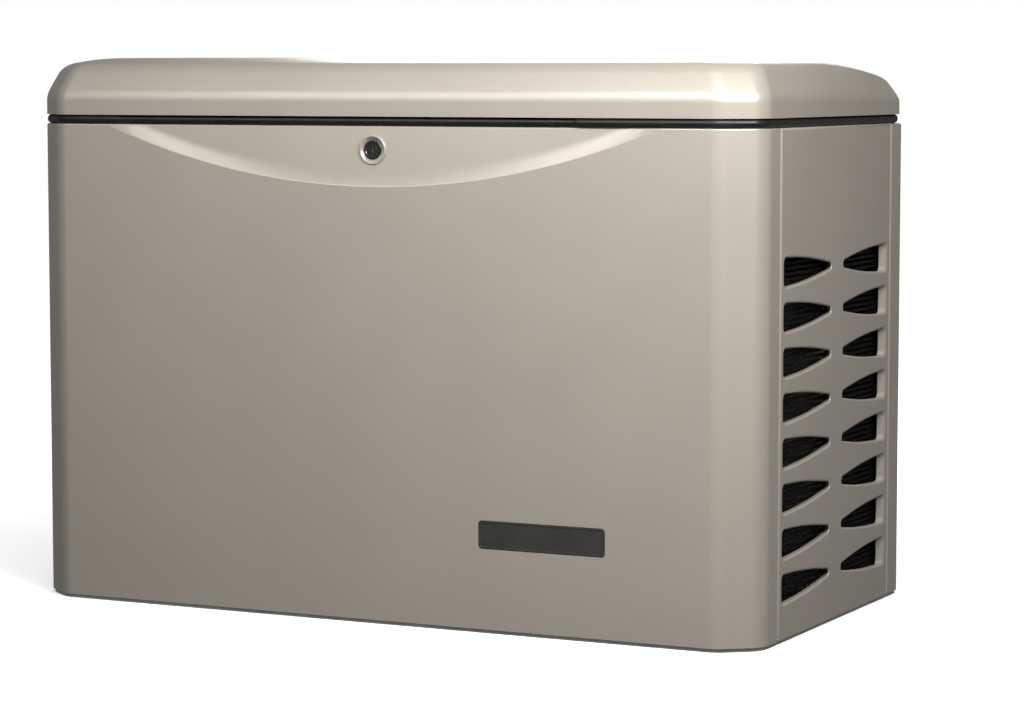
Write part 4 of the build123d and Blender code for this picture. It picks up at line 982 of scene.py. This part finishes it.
@dataclass
class EndPanel:
    """Flat end panel with two columns of teardrop air openings with rolled lips."""

    cabinet: Cabinet
    side: int
    y_low: float
    y_high: float
    rows: int = 8
    pitch: float = 0.0655
    first_z: float = 0.078
    tip: float = 0.027
    blunt: float = 0.218
    blunt_half: float = 0.0215
    tip_half: float = 0.0045
    belly: float = 0.0032
    blunt_round: float = 0.009
    tip_round: float = 0.0042
    lip_depth: float = 0.0095
    lip_round: float = 0.0038
    edge_round: float = 0.0042
    rim_angle: float = 0.6
    edge_margin: float = 0.004
    reach: float = 0.03
    skew: float = 1.1
    fold: float = 0.0135
    wall: float = 0.0016
    columns: int = 8

    @property
    def name(self) -> str:
        """The panel's own name."""
        return "right" if self.side > 0 else "left"

    def half_height(self, share: float) -> float:
        """Half of the opening's height, from its tip at 0 to its blunt end at 1."""
        straight = self.tip_half + (self.blunt_half - self.tip_half) * share
        return straight + self.belly * math.sin(math.pi * share)

    def teardrop_tool(self, column: int) -> Piece:
        """Models one opening's cutting tool in the bottom row.

        Args:
            column: -1 for the front column, 1 for the rear one.

        Returns:
            The tool, as a closed solid.
        """
        mid_y = (self.y_low + self.y_high) / 2
        length = self.blunt - self.tip
        centre = (self.side * self.cabinet.half_x, mid_y + column * (self.blunt + self.tip) / 2, self.first_z)
        bpy.ops.object.select_all(action="DESELECT")
        bpy.ops.mesh.primitive_plane_add(size=1.0, location=centre, rotation=(0, math.pi / 2, 0))
        tool = placed("opening_tool")
        tip_y = mid_y + column * self.tip
        with editing(tool):
            bpy.ops.mesh.select_all(action="SELECT")
            stretch((1, length, 2 * self.blunt_half), centre)
            for step in range(1, self.columns):
                cut_across((0, tip_y + column * length * step / self.columns, 0), (0, 1, 0))
            for step in range(self.columns + 1):
                share = step / self.columns
                place = tip_y + column * length * share
                pick(tool, "VERT", at_y(place))
                taller = self.half_height(share) / self.blunt_half
                stretch((1, 1, taller), (0, place, self.first_z))
            bpy.ops.mesh.select_all(action="SELECT")
            bpy.ops.mesh.dissolve_limited(angle_limit=0.0001, use_dissolve_boundaries=False)
            for place, run in ((tip_y + column * length, self.blunt_round), (tip_y, self.tip_round)):
                pick(tool, "VERT", at_y(place))
                bevel(run, 6, "VERTICES")
            bpy.ops.mesh.select_all(action="SELECT")
            move(self.side * self.reach, column * self.reach * self.skew, 0)
            pull(-self.side * 2 * self.reach, -column * 2 * self.reach * self.skew, 0)
            bpy.ops.mesh.select_all(action="SELECT")
            bpy.ops.mesh.normals_make_consistent(inside=False)
        return tool

    def all_openings(self) -> Piece:
        """Copies the two openings up their columns and joins them into one tool."""
        tools = []
        for column in (-1, 1):
            first = self.teardrop_tool(column)
            tools.append(first)
            for row in range(1, self.rows):
                copy = first.copy()
                copy.data = first.data.copy()
                copy.data.transform(Matrix.Translation((0, 0, row * self.pitch)))
                bpy.context.collection.objects.link(copy)
                tools.append(copy)
        bpy.ops.object.select_all(action="DESELECT")
        for tool in tools:
            tool.select_set(True)
        bpy.context.view_layer.objects.active = tools[0]
        bpy.ops.object.join()
        return tools[0]

    def build(self) -> Piece:
        """Models the panel's skin.

        Returns:
            The finished skin.
        """
        cab = self.cabinet
        outer = self.side * cab.half_x
        inner = outer - self.side * self.lip_depth
        centre = ((outer + inner) / 2, (self.y_low + self.y_high) / 2, (cab.panel_bottom + cab.panel_top) / 2)
        size = (self.lip_depth, self.y_high - self.y_low, cab.panel_top - cab.panel_bottom)
        skin = add_cube(self.name + "_end_skin", centre, size)
        cut_out(skin, self.all_openings())
        with editing(skin):
            delete_faces(skin, lambda f: f.normal.x * self.side < -0.9 or cab.under(f))
            pick(skin, "EDGE", lambda e: self.on_rim(e) and self.inside(middle(e)))
            bevel(self.lip_round, 6)
            pick(skin, "EDGE", lambda e: self.on_rim(e) and not self.inside(middle(e)))
            bevel(self.edge_round, 5)
        thicken(skin, self.wall)
        smooth(skin, 40)
        return skin

    def on_rim(self, edge: Edge) -> bool:
        """Whether an edge is a sharp one in the panel's outer face."""
        outer = self.side * self.cabinet.half_x
        flush = edge.is_manifold and abs(middle(edge).x - outer) < CLOSE
        return flush and edge.calc_face_angle(0) > self.rim_angle

    def inside(self, point: Vector) -> bool:
        """Whether a point is clear of the panel's outer edges."""
        edge = self.edge_margin
        in_y = self.y_low + edge < point.y < self.y_high - edge
        return in_y and self.cabinet.panel_bottom + edge < point.z < self.cabinet.panel_top - edge

    def dress(self, skin: Piece, coat: Material) -> None:
        """Gives the panel its finish and its body."""
        finish_piece(skin, coat, "root", (self.name + "_end_panel",))


# ---------------------------------------------------------------- lock and plate
@dataclass
class Lock:
    """Dished ring in the recess with a round black key plug."""

    centre: Vector
    face_y: float
    ring_radius: float = 0.0225
    plug_radius: float = 0.0147
    ring_rise: float = 0.0035
    ring_root: float = 0.004
    ring_round: float = 0.0018
    ring_steps: Steps = (
        (0.0008, 0.0), (0.0012, 0.0006), (0.0024, 0.0030), (0.0010, 0.0004)
    )
    ring_bore: float = 0.003
    plug_sink: float = 0.0012
    plug_depth: float = 0.012
    plug_round: float = 0.0012
    plug_steps: Steps = (
        (0.0016, 0.0), (0.0010, 0.0011), (0.0034, 0.0002), (0.0006, -0.0009), (0.0007, 0.0)
    )
    key_slot: Point = (0.0018, 0.012, 0.0078)
    facets: int = 96

    def disc(self, name: str, radius: float, front: float, depth: float) -> Piece:
        """Adds a disc that faces the front."""
        place = (self.centre.x, front + depth / 2, self.centre.z)
        return add_cylinder(name, place, radius, depth, self.facets)

    def terrace(self, piece: Piece, front: float, steps: Steps) -> None:
        """Steps a disc's front face inwards, ring by ring.

        Args:
            piece: The disc, in edit mode.
            front: Where its face lies.
            steps: How far in and how deep each ring of the face goes.
        """
        pick(piece, "FACE", lambda f: f.normal.y < -0.99 and abs(f.calc_center_median().y - front) < CLOSE)
        for thickness, sink in steps:
            bpy.ops.mesh.inset(thickness=thickness)
            move(0, sink, 0)

    def build_ring(self) -> Piece:
        """Models the dished ring.

        Returns:
            The finished ring.
        """
        front = self.face_y - self.ring_rise
        ring = self.disc("lock_ring", self.ring_radius, front, self.ring_rise + self.ring_root)
        with editing(ring):
            pick(ring, "EDGE", lambda e: abs(middle(e).y - front) < CLOSE)
            bevel(self.ring_round, 4)
            self.terrace(ring, front, self.ring_steps)
            pull(0, self.ring_bore, 0)
            bpy.ops.mesh.delete(type="FACE")
        smooth(ring, 40)
        return ring

    def build_plug(self) -> Piece:
        """Models the plug with its raised rim and key slot.

        Returns:
            The finished plug.
        """
        front = self.face_y - self.ring_rise + self.plug_sink
        plug = self.disc("lock_plug_face", self.plug_radius, front, self.plug_depth)
        with editing(plug):
            pick(plug, "EDGE", lambda e: abs(middle(e).y - front) < CLOSE)
            bevel(self.plug_round, 4)
            self.terrace(plug, front, self.plug_steps)
        cut_out(plug, add_cube("key_tool", (self.centre.x, front, self.centre.z), self.key_slot))
        smooth(plug, 40)
        return plug

    def dress(
        self, ring: Piece, plug: Piece, coat: Material, black: Material
    ) -> None:
        """Gives ring and plug their finishes and bodies."""
        finish_piece(ring, coat, "front_cover", ("lock_housing",))
        finish_piece(plug, black, "lock", ("lock_plug",))


@dataclass
class NamePlate:
    """Blank plate with a raised border, low on the front."""

    low: Vector
    high: Vector
    corner: float = 0.006
    border: float = 0.003
    sink: float = 0.0006
    edge_round: float = 0.0004

    def build(self) -> Piece:
        """Models the plate.

        Returns:
            The finished plate.
        """
        plate = add_cube("blank_name_plate", (self.low + self.high) / 2, self.high - self.low)
        front = self.low.y
        with editing(plate):
            pick(plate, "EDGE", along_y)
            bevel(self.corner, 7)
            pick(plate, "FACE", lambda f: f.normal.y < -0.99)
            bpy.ops.mesh.inset(thickness=self.border)
            bpy.ops.mesh.inset(thickness=self.sink)
            move(0, self.sink, 0)
            pick(plate, "EDGE", lambda e: abs(middle(e).y - front) < CLOSE and e.calc_face_angle(0) > 1.2)
            bevel(self.edge_round, 2)
        smooth(plate, 40)
        return plate

    def dress(self, plate: Piece, dark: Material) -> None:
        """Gives the plate its finish and its body."""
        finish_piece(plate, dark, "front_cover", ("name_badge",))


# ---------------------------------------------------------------- studio
@dataclass
class Studio:
    """Pale floor, soft light and the camera."""

    floor_size: float = 60.0
    camera_place: Point = (2.2419, -4.4153, 0.8182)
    camera_turn: float = 26.22
    camera_tilt: float = 84.83
    lens: float = 110.6
    sky_light: float = 0.17
    # Painted light: the floor glows from glow_near near the middle to glow_far beyond glow_span, so it is
    # darker round the cabinet and white far out.
    glow_near: float = 0.34
    glow_far: float = 0.86
    glow_span: tuple[float, float] = (0.7, 2.4)
    softboxes: tuple[Softbox, ...] = (
        ("key_softbox", (1.05, -1.35, 1.60), (0.40, -0.33, 0.70), 0.5, 0.5, 27.0),
        ("front_softbox", (0.30, -1.60, 1.50), (0.20, -0.33, 0.70), 1.2, 0.5, 17.0),
        ("side_softbox", (1.75, -1.10, 1.60), (0.60, -0.25, 0.60), 0.6, 0.6, 34.0),
        ("fill_softbox", (-1.40, -2.60, 1.80), (-0.20, -0.30, 0.60), 1.0, 1.0, 15.0),
        ("back_softbox", (-0.90, 2.50, 2.10), (0.00, 0.30, 0.45), 1.6, 1.2, 42.0),
    )

    def build_floor(self) -> None:
        """Adds the floor, which glows with painted light: weakly near the middle and strongly far out."""
        bpy.ops.object.select_all(action="DESELECT")
        bpy.ops.mesh.primitive_plane_add(size=self.floor_size, location=(0, 0, 0))
        floor = placed("studio_floor")
        g = Graph("studio_floor")
        tone = g.blend(g.span(g.noise(3.0), 0.0, 1.0), rgba((0.86,) * 3), rgba((0.89,) * 3))
        # Painted light: emission that grows with the distance from the middle.
        reach = g.node("ShaderNodeVectorMath", {"operation": "LENGTH"}, output="Value", i0=g.place)
        away = g.span(reach, 0.0, 1.0, *self.glow_span)
        glow = g.blend(away, rgba((self.glow_near,) * 3), rgba((self.glow_far,) * 3))
        matt = g.dress(Base_Color=tone, Roughness=0.8, Emission_Color=glow, Emission_Strength=1.0)
        floor.data.materials.append(matt)
        floor.visible_diffuse = False
        floor.visible_glossy = False

    def build_sky(self) -> None:
        """Sets a white backdrop, and dim light from all round."""
        world = bpy.data.worlds.new("studio_sky")
        bpy.context.scene.world = world
        world.use_nodes = True
        tree = world.node_tree
        background = next(n for n in tree.nodes if n.type == "BACKGROUND")
        path = tree.nodes.new("ShaderNodeLightPath")
        level = tree.nodes.new("ShaderNodeMix")
        tree.links.new(path.outputs["Is Camera Ray"], level.inputs[0])
        level.inputs[2].default_value = self.sky_light
        level.inputs[3].default_value = 1.0
        tree.links.new(level.outputs[0], background.inputs["Strength"])
        background.inputs["Color"].default_value = (1, 1, 1, 1)

    def add_softbox(self, softbox: Softbox) -> None:
        """Adds one rectangular light that faces a point."""
        name, place, aim, width, height, power = softbox
        bpy.ops.object.light_add(type="AREA", location=place)
        lamp = bpy.context.view_layer.objects.active
        lamp.name = name
        lamp.data.shape = "RECTANGLE"
        lamp.data.size = width
        lamp.data.size_y = height
        lamp.data.energy = power
        lamp.rotation_euler = (Vector(aim) - Vector(place)).to_track_quat("-Z", "Y").to_euler()

    def build_camera(self) -> None:
        """Adds the camera."""
        turn = (math.radians(self.camera_tilt), 0, math.radians(self.camera_turn))
        bpy.ops.object.camera_add(location=self.camera_place, rotation=turn)
        camera = bpy.context.view_layer.objects.active
        camera.data.lens = self.lens
        camera.data.sensor_width = 36.0
        camera.data.clip_end = 200.0
        bpy.context.scene.camera = camera

    def build(self) -> None:
        """Builds the whole studio."""
        self.build_floor()
        self.build_sky()
        for softbox in self.softboxes:
            self.add_softbox(softbox)
        self.build_camera()
        bpy.context.scene.view_settings.view_transform = "Standard"


def dress_nodes() -> None:
    """Gives every CAD node that still shows its own finish."""
    for finish, names in NODE_FINISHES.items():
        material = finish.material()
        for name in names:
            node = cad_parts[name]
            node.data.materials.clear()
            node.data.materials.append(material)
            LOG.info("%s: finish %s", name, material.name)


def measured_cabinet() -> Cabinet:
    """Reads the cabinet's outer sizes from the frame."""
    roof_low, roof_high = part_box("roof_shell")
    panel_low, panel_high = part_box("front_panel")
    return Cabinet(
        low=Vector((roof_low.x, roof_low.y, 0)), high=roof_high,
        panel_top=panel_high.z, panel_bottom=panel_low.z, lid_bottom=roof_low.z,
    )


def main() -> None:
    """Builds every piece in order."""
    logging.basicConfig(level=logging.INFO)
    cabinet = measured_cabinet()
    coat = COAT.material()
    dress_nodes()

    roof = Roof(cabinet)
    roof.dress(roof.build(), coat, "cabinet_paint", "roof_shell")
    lining = Roof(cabinet, "roof_lining", 0.0036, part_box("roof_foam")[0].z, lip_top=0.7785, wall=0.0115)
    lining.dress(lining.build(), Foam().material(), "acoustic_foam", "roof_foam")
    seal = Seal(cabinet)
    seal.dress(seal.build(), RUBBER.material())

    badge_low, badge_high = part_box("name_badge")
    front = FrontPanel(
        cabinet, "front_skin", "front_cover", "front_panel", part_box("front_panel")[1].y, True,
        plate_low=tuple(badge_low), plate_high=tuple(badge_high),
    )
    front.dress(front.build(), coat)
    rear = RearPanel(cabinet, "rear_skin", "root", "rear_panel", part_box("rear_panel")[0].y, False)
    rear.dress(rear.build(), coat)
    for side in (-1, 1):
        low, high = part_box("right_end_panel" if side > 0 else "left_end_panel")
        end = EndPanel(cabinet, side, low.y, high.y)
        end.dress(end.build(), coat)

    plug_low, plug_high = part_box("lock_plug")
    lock = Lock((plug_low + plug_high) / 2, front.face_at((plug_low.z + plug_high.z) / 2))
    lock.dress(lock.build_ring(), lock.build_plug(), coat, LOCK_BLACK.material())
    plate = NamePlate(badge_low, badge_high)
    plate.dress(plate.build(), BADGE_DARK.material())

    Studio().build()


if __name__ == "__main__":
    main()
